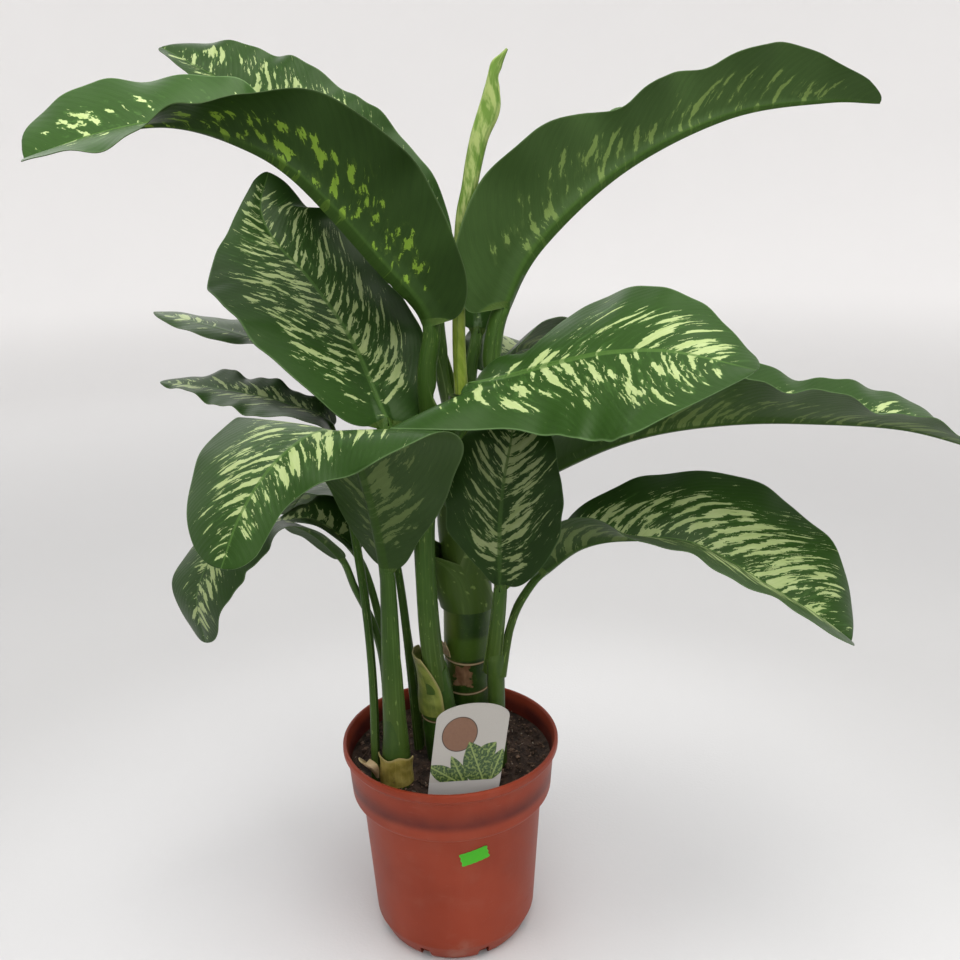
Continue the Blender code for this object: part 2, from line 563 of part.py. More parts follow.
def build_sheaths():
    middle = [(-0.0105, -0.015, 0.2425, 0.0185), (-0.0120, -0.019, 0.2700, 0.0162),
              (-0.0135, -0.0235, 0.2880, 0.0150), (-0.0165, -0.0270, 0.3050, 0.0150)]
    rows = wrap_rows(middle, 112, 290, 9, 0.003)
    plate("old_sheath_middle", rows, 0.0012, (0.35, 0.42, 0.14), 0.5)
    left = [(-0.050, -0.044, 0.1860, 0.0160), (-0.050, -0.0445, 0.1960, 0.0155),
            (-0.0495, -0.045, 0.2060, 0.0160), (-0.0495, -0.045, 0.2130, 0.0175)]
    plate("torn_sheath_left", wrap_rows(left, 170, 350, 9, 0.002), 0.0010, (0.45, 0.42, 0.15), 0.6)
    flap = [(-0.0680, -0.046, 0.1880, 0.0010), (-0.0695, -0.047, 0.1960, 0.0040),
            (-0.0730, -0.048, 0.2040, 0.0060), (-0.0780, -0.050, 0.2090, 0.0050)]
    plate("dry_flap_left", wrap_rows(flap, 150, 330, 5, 0.0), 0.0010, (0.40, 0.27, 0.13), 0.8)
    scrap = [(0.0185, 0.0160, 0.2890, 0.0245), (0.0185, 0.0155, 0.2960, 0.0250),
             (0.0190, 0.0150, 0.3030, 0.0262)]
    plate("dry_scrap_main", wrap_rows(scrap, 200, 228, 4, 0.0015), 0.0008, (0.30, 0.17, 0.09), 0.8)


def build_sticker():
    width, height, thickness = STICKER_SIZE
    tilt = math.radians(STICKER_TILT)
    rows = []
    for i in range(4):
        row = []
        for j in range(7):
            across = (j / 6 - 0.5) * width
            up = (i / 3 - 0.5) * height
            x = across * math.cos(tilt) - up * math.sin(tilt)
            z = across * math.sin(tilt) + up * math.cos(tilt)
            radius = 0.0800 + (STICKER_HEIGHT + z - 0.019) * 0.0085 / 0.128 + 0.0007
            angle = math.radians(STICKER_TURN) + x / radius
            row.append((radius * math.cos(angle), radius * math.sin(angle), STICKER_HEIGHT + z))
        rows.append(row)
    plate("price_sticker", rows, thickness, (0.05, 0.75, 0.08), 0.5)


def main():
    clear_scene()
    build_pot()
    build_soil()
    build_canes()
    build_sheaths()
    for name, leaf in LEAVES.items():
        build_leaf(name, leaf, (0.030, 0.110, 0.030))
    build_label("plant_label", 0.0, (0.72, 0.73, 0.70))
    build_sticker()


main()
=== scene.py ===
"""Potted dieffenbachia: fine leaves, canes, pot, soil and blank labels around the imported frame."""
import math

import bmesh
import bpy
import numpy as np
from mathutils import Matrix, Vector


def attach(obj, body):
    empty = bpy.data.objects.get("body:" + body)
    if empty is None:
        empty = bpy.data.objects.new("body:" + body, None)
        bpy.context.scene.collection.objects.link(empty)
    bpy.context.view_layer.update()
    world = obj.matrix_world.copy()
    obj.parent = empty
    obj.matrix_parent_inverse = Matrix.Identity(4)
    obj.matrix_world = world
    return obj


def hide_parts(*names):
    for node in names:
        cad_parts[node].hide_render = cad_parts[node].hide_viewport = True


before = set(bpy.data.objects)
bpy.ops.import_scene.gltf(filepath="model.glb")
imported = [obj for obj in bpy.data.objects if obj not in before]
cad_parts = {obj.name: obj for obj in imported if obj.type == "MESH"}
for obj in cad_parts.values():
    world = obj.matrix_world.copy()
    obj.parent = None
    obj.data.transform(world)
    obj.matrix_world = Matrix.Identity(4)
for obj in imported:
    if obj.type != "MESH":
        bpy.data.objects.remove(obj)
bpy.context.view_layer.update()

# Design values repeated from the CAD source, in metres.
POT_HEIGHT = 0.205
RIM_RADIUS = 0.105
FOOT_RADIUS = 0.070
SOIL_TOP = 0.183
POT_OUTER = [
    (FOOT_RADIUS, 0.0), (0.0725, 0.003), (0.0800, 0.019), (0.0885, 0.147), (0.0960, 0.151),
    (0.0978, 0.154), (0.1008, 0.193), (0.1035, 0.196), (RIM_RADIUS, 0.198), (RIM_RADIUS, 0.2035),
    (0.1040, POT_HEIGHT),
]
POT_INNER = [
    (0.1022, POT_HEIGHT), (0.1010, 0.2035), (0.0988, 0.193), (0.0958, 0.1555), (0.0865, 0.150),
    (0.0780, 0.0195), (0.0710, 0.0045), (0.0690, 0.0025),
]
MAIN_CANE = [
    (0.0185, 0.033, 0.150, 0.0215), (0.0180, 0.028, 0.180, 0.0220), (0.0170, 0.020, 0.2480, 0.0220),
    (0.0170, 0.020, 0.2505, 0.0228), (0.0170, 0.0195, 0.2530, 0.0222), (0.0180, 0.016, 0.2815, 0.0222),
    (0.0180, 0.016, 0.2840, 0.0234), (0.0185, 0.0155, 0.2870, 0.0228), (0.0200, 0.010, 0.3400, 0.0235),
    (0.0205, 0.004, 0.4000, 0.0215), (0.0210, 0.000, 0.4500, 0.0185), (0.0200, 0.000, 0.5000, 0.0150),
    (0.0190, 0.000, 0.5420, 0.0110),
]
MIDDLE_CANE = [
    (-0.004, 0.000, 0.150, 0.0160), (-0.006, -0.006, 0.1800, 0.0165), (-0.009, -0.012, 0.2200, 0.0168),
    (-0.0095, -0.013, 0.235, 0.0165), (-0.0095, -0.0135, 0.2370, 0.0172), (-0.010, -0.014, 0.2395, 0.0165),
    (-0.0120, -0.019, 0.2700, 0.0150), (-0.0130, -0.024, 0.2900, 0.0125),
]
LEFT_CANE = [
    (-0.050, -0.042, 0.150, 0.0130), (-0.050, -0.044, 0.1800, 0.0140), (-0.0495, -0.045, 0.2100, 0.0132),
    (-0.0492, -0.045, 0.2250, 0.0122), (-0.0490, -0.045, 0.2400, 0.0108), (-0.0492, -0.045, 0.2500, 0.0098),
]
RIGHT_SHOOT = [
    (0.0460, -0.018, 0.150, 0.0080), (0.0460, -0.022, 0.1900, 0.0085), (0.0450, -0.027, 0.2500, 0.0082),
    (0.0450, -0.031, 0.3010, 0.0080), (0.0452, -0.0315, 0.3100, 0.0062),
]

LEAVES = {
    "leaf_upper_left": dict(
        heading=187, half=(0.070, 0.066), lobe=(0.5, 0.3), power=(0.40, 0.30), stalk_radius=0.0095,
        trim=((1.0, 1.12, 1.12, 0.88, 0.52, 0.60, 0.9, 1.0), (1.0, 1.0, 1.0, 0.92, 0.80, 0.85, 1.05, 1.0)),
        stalk=[(-0.0057, -0.0117, 0.480), (-0.0100, -0.018, 0.560)],
        blade=[(-0.006, -0.020, 0.612, 60, 35), (-0.045, -0.025, 0.659, 85, 40),
               (-0.105, -0.035, 0.727, 85, 40), (-0.150, -0.042, 0.755, 60, 45),
               (-0.200, -0.048, 0.768, 0, 45), (-0.250, -0.058, 0.761, -12, 40),
               (-0.305, -0.070, 0.743, -8, 45)]),
    "leaf_upper_left_back": dict(
        heading=147, half=(0.060, 0.050), lobe=(0.3, 0.3), power=(0.45, 0.40), stalk_radius=0.007,
        trim=((1.0, 1.0, 0.8, 0.45, 0.35), (1.0, 1.0, 1.0, 1.1, 1.1)),
        stalk=[(0.008, 0.022, 0.500), (0.000, 0.042, 0.580)],
        blade=[(-0.008, 0.055, 0.640, 30, 50), (-0.045, 0.085, 0.710, 20, 55),
               (-0.120, 0.130, 0.775, 0, 50), (-0.200, 0.165, 0.818, -5, 45),
               (-0.270, 0.190, 0.856, -5, 20)]),
    "leaf_upper_right": dict(
        heading=12, half=(0.055, 0.064), lobe=(0.4, 0.9), power=(0.32, 0.32), stalk_radius=0.0095,
        trim=((1.0, 1.0, 1.0, 0.9, 0.9, 0.8, 0.8),
              (1.0, 1.15, 1.25, 1.1, 0.68, 0.80, 0.60, 0.80, 0.72, 0.52, 0.25)),
        stalk=[(0.0445, -0.012, 0.500), (0.0465, -0.007, 0.580)],
        blade=[(0.058, 0.002, 0.622, 35, 60), (0.090, 0.015, 0.672, 40, 80),
               (0.165, 0.038, 0.733, 40, 75), (0.260, 0.060, 0.774, 40, 75),
               (0.350, 0.080, 0.785, 35, 65), (0.402, 0.090, 0.783, 20, 50)]),
    "leaf_left_tall": dict(
        heading=128, half=(0.085, 0.085), lobe=(0.3, 0.3), power=(0.45, 0.55), stalk_radius=0.0080,
        trim=((1.0, 1.0, 1.05, 1.12, 1.15, 1.18, 1.15, 0.90, 0.50, 0.22, 0.2),
              (0.8, 0.8, 0.82, 0.84, 0.95, 0.95, 0.9)),
        stalk=[(-0.0150, -0.008, 0.370), (-0.0358, -0.0322, 0.450), (-0.045, -0.034, 0.500)],
        blade=[(-0.048, -0.028, 0.525, 15, 15), (-0.078, 0.020, 0.588, 8, 8),
               (-0.120, 0.064, 0.640, 5, 8), (-0.155, 0.094, 0.674, 0, 15),
               (-0.169, 0.114, 0.704, -5, 22), (-0.163, 0.134, 0.736, -8, 16)]),
    "leaf_left_slim": dict(
        heading=163, half=(0.038, 0.042), lobe=(0.2, 0.2), power=(0.50, 0.70), stalk_radius=0.005,
        trim=((1.0, 0.9, 0.5, 0.30, 0.65, 0.8, 0.8), (1.0, 1.0)),
        stalk=[(-0.004, 0.014, 0.430), (-0.045, 0.035, 0.500)],
        blade=[(-0.085, 0.052, 0.538, 10, 10), (-0.135, 0.070, 0.570, -5, 5),
               (-0.195, 0.088, 0.588, -10, 5), (-0.240, 0.100, 0.599, -10, 5),
               (-0.280, 0.110, 0.608, 0, 0)]),
    "leaf_left_mid": dict(
        heading=178, half=(0.055, 0.055), lobe=(0.3, 0.3), power=(0.50, 0.75), stalk_radius=0.0045,
        trim=((0.9, 0.85, 0.75, 0.60, 0.38, 0.4), (0.7, 0.5, 0.5, 0.65, 1.1, 0.8)),
        stalk=[(-0.070, -0.034, 0.195), (-0.070, -0.022, 0.280), (-0.076, -0.007, 0.360),
               (-0.087, 0.000, 0.450)],
        blade=[(-0.099, 0.002, 0.515, 10, 15), (-0.135, 0.000, 0.536, 0, 20),
               (-0.175, 0.005, 0.546, -8, 20), (-0.215, 0.010, 0.552, -8, 10),
               (-0.250, 0.015, 0.556, -5, 5)]),
    "leaf_left_front": dict(
        heading=235, half=(0.080, 0.095), lobe=(0.3, 0.3), power=(0.45, 0.45), stalk_radius=0.0092,
        trim=((0.4, 0.55, 0.85, 1.0, 1.15, 1.05, 0.75, 0.5, 0.35, 0.38, 0.5),
              (0.55, 0.6, 0.8, 1.0, 0.93, 0.6)),
        stalk=[(-0.0490, -0.0450, 0.2460), (-0.0495, -0.0450, 0.310), (-0.049, -0.046, 0.370)],
        blade=[(-0.050, -0.048, 0.400, 20, 20), (-0.058, -0.060, 0.465, 15, 5),
               (-0.070, -0.080, 0.520, 14, 0), (-0.090, -0.108, 0.536, -2, 0),
               (-0.118, -0.138, 0.522, -15, -5), (-0.140, -0.170, 0.492, -30, -3),
               (-0.152, -0.195, 0.458, -20, 0)]),
    "leaf_left_low": dict(
        heading=222, half=(0.050, 0.045), lobe=(0.3, 0.3), power=(0.50, 0.42), stalk_radius=0.004,
        trim=((0.6, 0.6, 0.9, 1.0, 1.1, 1.0), (0.8, 0.8, 1.0, 1.05, 1.1, 1.0)),
        stalk=[(-0.060, -0.020, 0.186), (-0.060, -0.008, 0.270), (-0.068, -0.004, 0.320),
               (-0.085, 0.000, 0.360)],
        blade=[(-0.096, -0.003, 0.392, 10, -10), (-0.125, -0.006, 0.422, 0, -15),
               (-0.162, -0.012, 0.432, -5, -10), (-0.200, -0.030, 0.412, -5, -5),
               (-0.217, -0.050, 0.378, 0, 0), (-0.211, -0.060, 0.336, 0, 0)]),
    "leaf_left_low_back": dict(
        heading=155, half=(0.038, 0.050), lobe=(0.3, 0.3), power=(0.50, 0.60), stalk_radius=0.004,
        trim=((1.0, 1.0), (1.0, 1.0)),
        stalk=[(-0.052, 0.005, 0.186), (-0.060, 0.012, 0.280), (-0.072, 0.020, 0.350)],
        blade=[(-0.090, 0.038, 0.384, 30, 30), (-0.128, 0.062, 0.406, 20, 30),
               (-0.166, 0.085, 0.398, -5, 10), (-0.200, 0.110, 0.375, -5, 5),
               (-0.225, 0.130, 0.340, 0, 0)]),
    "leaf_left_inner": dict(
        heading=135, half=(0.045, 0.045), lobe=(0.3, 0.3), power=(0.50, 0.60), stalk_radius=0.004,
        trim=((1.0, 1.0), (1.0, 1.0)),
        stalk=[(-0.032, 0.010, 0.186), (-0.040, 0.022, 0.300), (-0.048, 0.035, 0.370)],
        blade=[(-0.060, 0.052, 0.420, 10, 10), (-0.086, 0.080, 0.436, 0, 0),
               (-0.118, 0.112, 0.434, 0, 0), (-0.152, 0.146, 0.412, 0, 0),
               (-0.178, 0.176, 0.378, 0, 0)]),
    "leaf_centre_low": dict(
        heading=80, half=(0.051, 0.050), lobe=(0.2, 0.2), power=(0.40, 0.60), stalk_radius=0.0060,
        trim=((0.2, 0.35, 0.6, 0.86, 0.87, 0.88, 0.93, 1.0, 1.0, 1.0, 1.0), (0.6, 0.9, 1.0, 1.0, 1.0, 1.0)),
        stalk=[(0.0435, -0.033, 0.3062), (0.047, -0.047, 0.345), (0.049, -0.053, 0.368)],
        blade=[(0.050, -0.055, 0.385, 20, 20), (0.050, -0.057, 0.431, 8, 8),
               (0.054, -0.053, 0.475, 5, 5), (0.061, -0.045, 0.510, 5, 5),
               (0.066, -0.032, 0.540, 0, 0)]),
    "leaf_right_low": dict(
        heading=-8, half=(0.085, 0.070), lobe=(0.3, 0.3), power=(0.45, 0.36), stalk_radius=0.0045,
        trim=((0.6, 0.6, 0.7, 0.87, 1.0, 1.08, 1.18, 1.22, 1.15, 1.0, 1.0), (1.0, 1.0)),
        stalk=[(0.0537, -0.0255, 0.3055), (0.0580, -0.022, 0.325), (0.066, -0.021, 0.347),
               (0.080, -0.021, 0.370)],
        blade=[(0.092, -0.021, 0.382, 20, 60), (0.124, -0.021, 0.405, 30, 50),
               (0.165, -0.022, 0.412, 32, 24), (0.225, -0.032, 0.408, 35, 10),
               (0.282, -0.052, 0.378, 35, 10), (0.325, -0.070, 0.354, 35, 10),
               (0.352, -0.080, 0.334, 20, 10)]),
    "leaf_right_mid": dict(
        heading=-25, half=(0.080, 0.085), lobe=(0.2, 1.7), power=(0.45, 0.55), stalk_radius=0.0100,
        trim=((0.9, 0.75, 0.38, 0.75, 1.0, 1.0, 0.96, 0.92, 0.75, 0.65, 0.7),
              (1.05, 0.9, 0.76, 0.84, 0.88, 0.94, 1.03, 1.2, 1.40, 1.5, 1.5)),
        stalk=[(-0.0135, -0.0268, 0.2925), (-0.0162, -0.0345, 0.340), (-0.0170, -0.038, 0.406),
               (-0.0130, -0.041, 0.455), (0.002, -0.047, 0.500), (0.021, -0.058, 0.535)],
        blade=[(0.031, -0.060, 0.556, 20, 8), (0.068, -0.070, 0.571, 28, -26),
               (0.100, -0.082, 0.582, 30, -35), (0.137, -0.102, 0.592, 30, -35),
               (0.178, -0.130, 0.596, 28, -30), (0.230, -0.168, 0.588, 10, -10)]),
    "leaf_right_far": dict(
        heading=-3, half=(0.070, 0.075), lobe=(0.3, 0.3), power=(0.40, 0.45), stalk_radius=0.006,
        trim=((1.0, 1.0, 1.0, 1.15, 0.95, 1.3, 1.3), (1.0, 1.0)),
        stalk=[(0.0425, 0.0150, 0.420), (0.070, 0.028, 0.447)],
        blade=[(0.100, 0.030, 0.462, 30, 50), (0.155, 0.030, 0.486, 35, 50),
               (0.205, 0.030, 0.499, 30, 45), (0.268, 0.030, 0.505, 30, 42),
               (0.330, 0.022, 0.506, 28, 32), (0.418, 0.010, 0.500, 20, 20),
               (0.490, 0.000, 0.480, 0, 10)]),
    "leaf_back_right": dict(
        heading=64, half=(0.056, 0.054), lobe=(0.3, 0.3), power=(0.50, 0.60), stalk_radius=0.006,
        trim=((1.0, 1.0), (1.0, 1.0)),
        stalk=[(0.0378, 0.0182, 0.470), (0.044, 0.038, 0.522)],
        blade=[(0.050, 0.056, 0.551, 20, 50), (0.070, 0.100, 0.565, 20, 40),
               (0.095, 0.150, 0.560, 10, 20), (0.120, 0.200, 0.535, 0, 10),
               (0.140, 0.240, 0.495, 0, 0)]),
    "leaf_back_centre": dict(
        heading=112, half=(0.055, 0.055), lobe=(0.3, 0.3), power=(0.50, 0.60), stalk_radius=0.006,
        trim=((1.0, 1.0), (1.0, 1.0)),
        stalk=[(0.0212, 0.0265, 0.470), (0.027, 0.046, 0.550)],
        blade=[(0.034, 0.067, 0.590, 30, 50), (0.027, 0.108, 0.635, 30, 50),
               (0.005, 0.155, 0.655, 10, 30), (-0.015, 0.205, 0.640, 0, 10),
               (-0.035, 0.245, 0.600, 0, 0)]),
}
# The rolled new leaf as rows of (x, y, z, half width, half depth).
SPEAR = [
    (0.0190, 0.000, 0.5430, 0.0060, 0.0060), (0.0180, 0.001, 0.5850, 0.0056, 0.0056),
    (0.0190, 0.002, 0.6300, 0.0056, 0.0054), (0.0211, 0.003, 0.6660, 0.0058, 0.0055),
    (0.0244, 0.004, 0.6950, 0.0061, 0.0056), (0.0299, 0.004, 0.7160, 0.0066, 0.0060),
    (0.0343, 0.004, 0.7370, 0.0071, 0.0064), (0.0399, 0.003, 0.7580, 0.0076, 0.0064),
    (0.0478, 0.003, 0.7775, 0.0088, 0.0060), (0.0502, 0.002, 0.7920, 0.0066, 0.0050),
    (0.0513, 0.001, 0.8025, 0.0045, 0.0040), (0.0543, 0.001, 0.8110, 0.0048, 0.0032),
    (0.0588, 0.000, 0.8170, 0.0026, 0.0020), (0.0629, 0.000, 0.8225, 0.0010, 0.0010),
]

# Stake label: card width, thickness, lean from upright in degrees, and where it enters the soil.
LABEL_WIDTH = 0.066
LABEL_THICKNESS = 0.0010
LABEL_LEAN = 11.0
LABEL_FOOT = (0.0115, -0.0835, 0.1840)
STICKER_SIZE = (0.0265, 0.0140, 0.0004)
STICKER_HEIGHT = 0.1270
STICKER_TURN = -75.5
STICKER_TILT = 13.0

# Per leaf looks: pattern cover, reach from the midrib, glow of the underside marks (painted light shining
# through the leaf, which also darkens the underside green as painted shade), vein slope, margin wave (size,
# waves, phase), seed of its noise, length of the sheath that clasps the main cane, height of the stalk's
# wings, how much the stalk thins, tone of each face (painted light and shade: a brightness factor for the
# upper and under face of each leaf) and fineness of the marks.
PLAIN_LOOK = dict(clasp=0.0, wing=0.006, taper=0.32, tone=(1.0, 1.0), fine=1.0)
LOOKS = {
    "leaf_upper_left": dict(
        cover=-0.03, reach=0.80, glow=0.8, slope=0.80, wave=(0.006, 4.2, 0.3), seed=11,
        clasp=0.045, wing=0.010, tone=(1.45, 1.0)),
    "leaf_upper_left_back": dict(
        cover=0.02, reach=0.90, glow=0.2, slope=0.90, wave=(0.005, 4.5, 1.0), seed=12,
        clasp=0.035, fine=1.3),
    "leaf_upper_right": dict(
        cover=-0.01, reach=0.80, glow=0.25, slope=1.00, wave=(0.006, 4.6, 0.2), seed=13,
        clasp=0.030, wing=0.009, tone=(1.3, 1.35)),
    "leaf_left_tall": dict(
        cover=0.015, reach=0.90, glow=0.2, slope=(0.75, 1.7), wave=(0.003, 3.0, 2.0), seed=14,
        clasp=0.035, fine=1.3),
    "leaf_left_slim": dict(
        cover=0.02, reach=0.70, glow=0.2, slope=0.90, wave=(0.002, 3.0, 0.0), seed=15, clasp=0.050),
    "leaf_left_mid": dict(
        cover=0.02, reach=0.75, glow=0.2, slope=1.10, wave=(0.003, 3.4, 1.5), seed=16, fine=1.4),
    "leaf_left_front": dict(
        cover=0.045, reach=0.80, glow=0.1, slope=0.95, wave=(0.003, 2.6, 2.2), seed=17,
        taper=0.45, fine=1.25),
    "leaf_left_low": dict(
        cover=0.02, reach=0.65, glow=0.1, slope=1.0, wave=(0.002, 3.0, 0.5), seed=18, fine=1.4),
    "leaf_left_low_back": dict(
        cover=0.01, reach=0.60, glow=0.2, slope=0.9, wave=(0.002, 3.0, 0.9), seed=19),
    "leaf_left_inner": dict(
        cover=0.03, reach=0.70, glow=0.2, slope=0.9, wave=(0.002, 3.0, 1.7), seed=20),
    "leaf_centre_low": dict(
        cover=0.06, reach=0.80, glow=0.1, slope=1.15, wave=(0.002, 2.8, 1.0), seed=21,
        # tone below 1: painted shade on this leaf, which lies under the others
        tone=(0.62, 0.8), fine=1.7),
    "leaf_right_low": dict(
        cover=0.055, reach=0.85, glow=0.1, slope=1.10, wave=(0.003, 3.3, 0.4), seed=22, fine=1.2),
    "leaf_right_mid": dict(
        cover=0.02, reach=0.85, glow=0.1, slope=1.05, wave=(0.0022, 3.4, 2.4), seed=23,
        tone=(1.15, 1.0)),
    "leaf_right_far": dict(
        cover=0.01, reach=0.75, glow=0.15, slope=1.0, wave=(0.005, 5.0, 0.8), seed=24,
        clasp=0.055, tone=(1.2, 1.35)),
    "leaf_back_right": dict(
        cover=0.02, reach=0.70, glow=0.2, slope=0.9, wave=(0.003, 3.0, 0.1), seed=25, clasp=0.040),
    "leaf_back_centre": dict(
        cover=0.02, reach=0.70, glow=0.2, slope=0.9, wave=(0.003, 3.0, 2.9), seed=26, clasp=0.042),
}

# Leaf meshes: rings along a blade, columns from midrib to margin, steps between path rows, and the
# spacing of the rings along a stalk and along the sheath below it.
BLADE_STEPS = 140
HALF_COLUMNS = 20
PATH_STEPS = 14
STALK_RING = 0.006
CLASP_RING = 0.004
# Leaf form: blade thickness, side vein spacing, degrees that the blade bends from midrib to margin,
# stalk width at its foot as a share of the design radius, and the length of its paler foot.
LEAF_SHEET = 0.0007
VEIN_PITCH = 0.0165
BLADE_CURL = -15.0
STALK_FOOT_SWELL = 1.12
PALE_FOOT = 0.12
# Distance in noise space between the patterns of two leaves.
SEED_STEP = 1.7

# Pot mesh: sides, drain slots round the foot, and the radii between which they are cut.
POT_SIDES = 144
FOOT_SLOTS = 8
SLOT_REACH = (0.066, 0.084)

# Soil: loose bits on it, its radius, and its two main sizes of lump as noise seed, fineness and height.
CRUMBS = 1500
SOIL_REACH = 0.0975
LUMPS = ((71, 90, 0.0022), (72, 260, 0.0013))


# ---------------------------------------------------------------- curves and meshes

def catmull(rows, steps):
    """A smooth line through rows of numbers, as an array."""
    rows = np.array(rows, float)
    padded = np.vstack([2 * rows[0] - rows[1], rows, 2 * rows[-1] - rows[-2]])
    result = []
    for p0, p1, p2, p3 in zip(padded, padded[1:], padded[2:], padded[3:]):
        for step in range(steps):
            t = step / steps
            row = 2 * p1 + (p2 - p0) * t + (2 * p0 - 5 * p1 + 4 * p2 - p3) * t * t
            result.append(0.5 * (row + (3 * p1 - p0 - 3 * p2 + p3) * t ** 3))
    result.append(rows[-1])
    return np.array(result)


def path_lengths(line):
    steps = np.linalg.norm(np.diff(line[:, :3], axis=0), axis=1)
    return np.concatenate([[0.0], np.cumsum(steps)])


def along_line(line, lengths, distances):
    """Rows of the line at these distances, all columns."""
    distances = np.clip(distances, 0.0, lengths[-1])
    return np.stack([np.interp(distances, lengths, column) for column in line.T], 1)


def unit(vectors):
    return vectors / np.maximum(np.linalg.norm(vectors, axis=-1, keepdims=True), 1e-12)


def smoothstep(low, high, value):
    t = np.clip((value - low) / (high - low), 0.0, 1.0)
    return t * t * (3 - 2 * t)


def waves(seed, *coordinates):
    """Smooth repeatable noise between about -1 and 1, from a few sine waves."""
    random = np.random.default_rng(seed)
    total = 0.0
    for _ in range(5):
        phase = random.uniform(0, 2 * math.pi)
        turn = sum(random.uniform(-1, 1) * c for c in coordinates)
        total = total + np.sin(turn + phase)
    return total / 2.6


def ring_faces(rings, size):
    """Quads between equal closed rings of points."""
    first = np.arange(rings - 1)[:, None] * size
    columns = np.arange(size)[None, :]
    a = first + columns
    b = first + (columns + 1) % size
    return np.stack([a, b, b + size, a + size], -1).reshape(-1, 4)


def end_caps(count, size):
    """Faces that close the first and last ring of a tube."""
    return [tuple(reversed(range(size))), tuple(range((count - 1) * size, count * size))]


def strip_caps(rows, columns):
    """Quads that close both ends of a sheet whose ring runs over its top and back below."""
    size = 2 * columns
    last = (rows - 1) * size
    first = [(k + 1, k, size - 1 - k, size - 2 - k) for k in range(columns - 1)]
    return first + [tuple(last + v for v in (b, a, d, c)) for a, b, c, d in first]


def spread_over(shape, *values):
    """One vector for each point of a grid, from values that may vary along it or across it."""
    return np.stack([np.broadcast_to(value, shape) for value in values], -1)


def both_faces(upper, lower):
    """Rows that run over the upper face and back along the lower one."""
    return np.concatenate([upper, lower[:, ::-1]], 1)


def make_mesh(name, points, quads, materials, extra_faces=(), face_material=None, sharp=50.0):
    points = np.asarray(points, float).reshape(-1, 3)
    faces = [tuple(int(v) for v in face) for face in quads] + [tuple(face) for face in extra_faces]
    mesh = bpy.data.meshes.new(name)
    mesh.from_pydata(points.tolist(), [], faces)
    for material in materials:
        mesh.materials.append(material)
    if face_material is not None:
        values = np.zeros(len(faces), np.int32)
        values[:len(face_material)] = face_material
        values[len(face_material):] = face_material[-1] if len(face_material) else 0
        mesh.polygons.foreach_set("material_index", values)
    mesh.shade_smooth()
    mesh.set_sharp_from_angle(angle=math.radians(sharp))
    mesh.update()
    obj = bpy.data.objects.new(name, mesh)
    bpy.context.scene.collection.objects.link(obj)
    return obj


def face_outwards(obj):
    body = bmesh.new()
    body.from_mesh(obj.data)
    bmesh.ops.recalc_face_normals(body, faces=body.faces)
    body.to_mesh(obj.data)
    body.free()


def add_attribute(obj, name, values):
    attribute = obj.data.attributes.new(name, "FLOAT_VECTOR", "POINT")
    attribute.data.foreach_set("vector", np.asarray(values, np.float32).ravel())


def place(obj, slot, *nodes):
    """Rides the piece on the one body and hides the CAD nodes that it stands for. The slot is not used."""
    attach(obj, "root")
    if nodes:
        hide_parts(*nodes)
    return obj


# ---------------------------------------------------------------- materials

class Field:
    """The output of a shader node, on which plain arithmetic works."""

    def __init__(self, graph, socket):
        self.graph = graph
        self.socket = socket

    def __add__(self, other):
        return self.graph.math("ADD", self, other)

    def __sub__(self, other):
        return self.graph.math("SUBTRACT", self, other)

    def __rsub__(self, other):
        return self.graph.math("SUBTRACT", other, self)

    def __mul__(self, other):
        return self.graph.math("MULTIPLY", self, other)

    def __truediv__(self, other):
        return self.graph.math("DIVIDE", self, other)

    __radd__ = __add__
    __rmul__ = __mul__


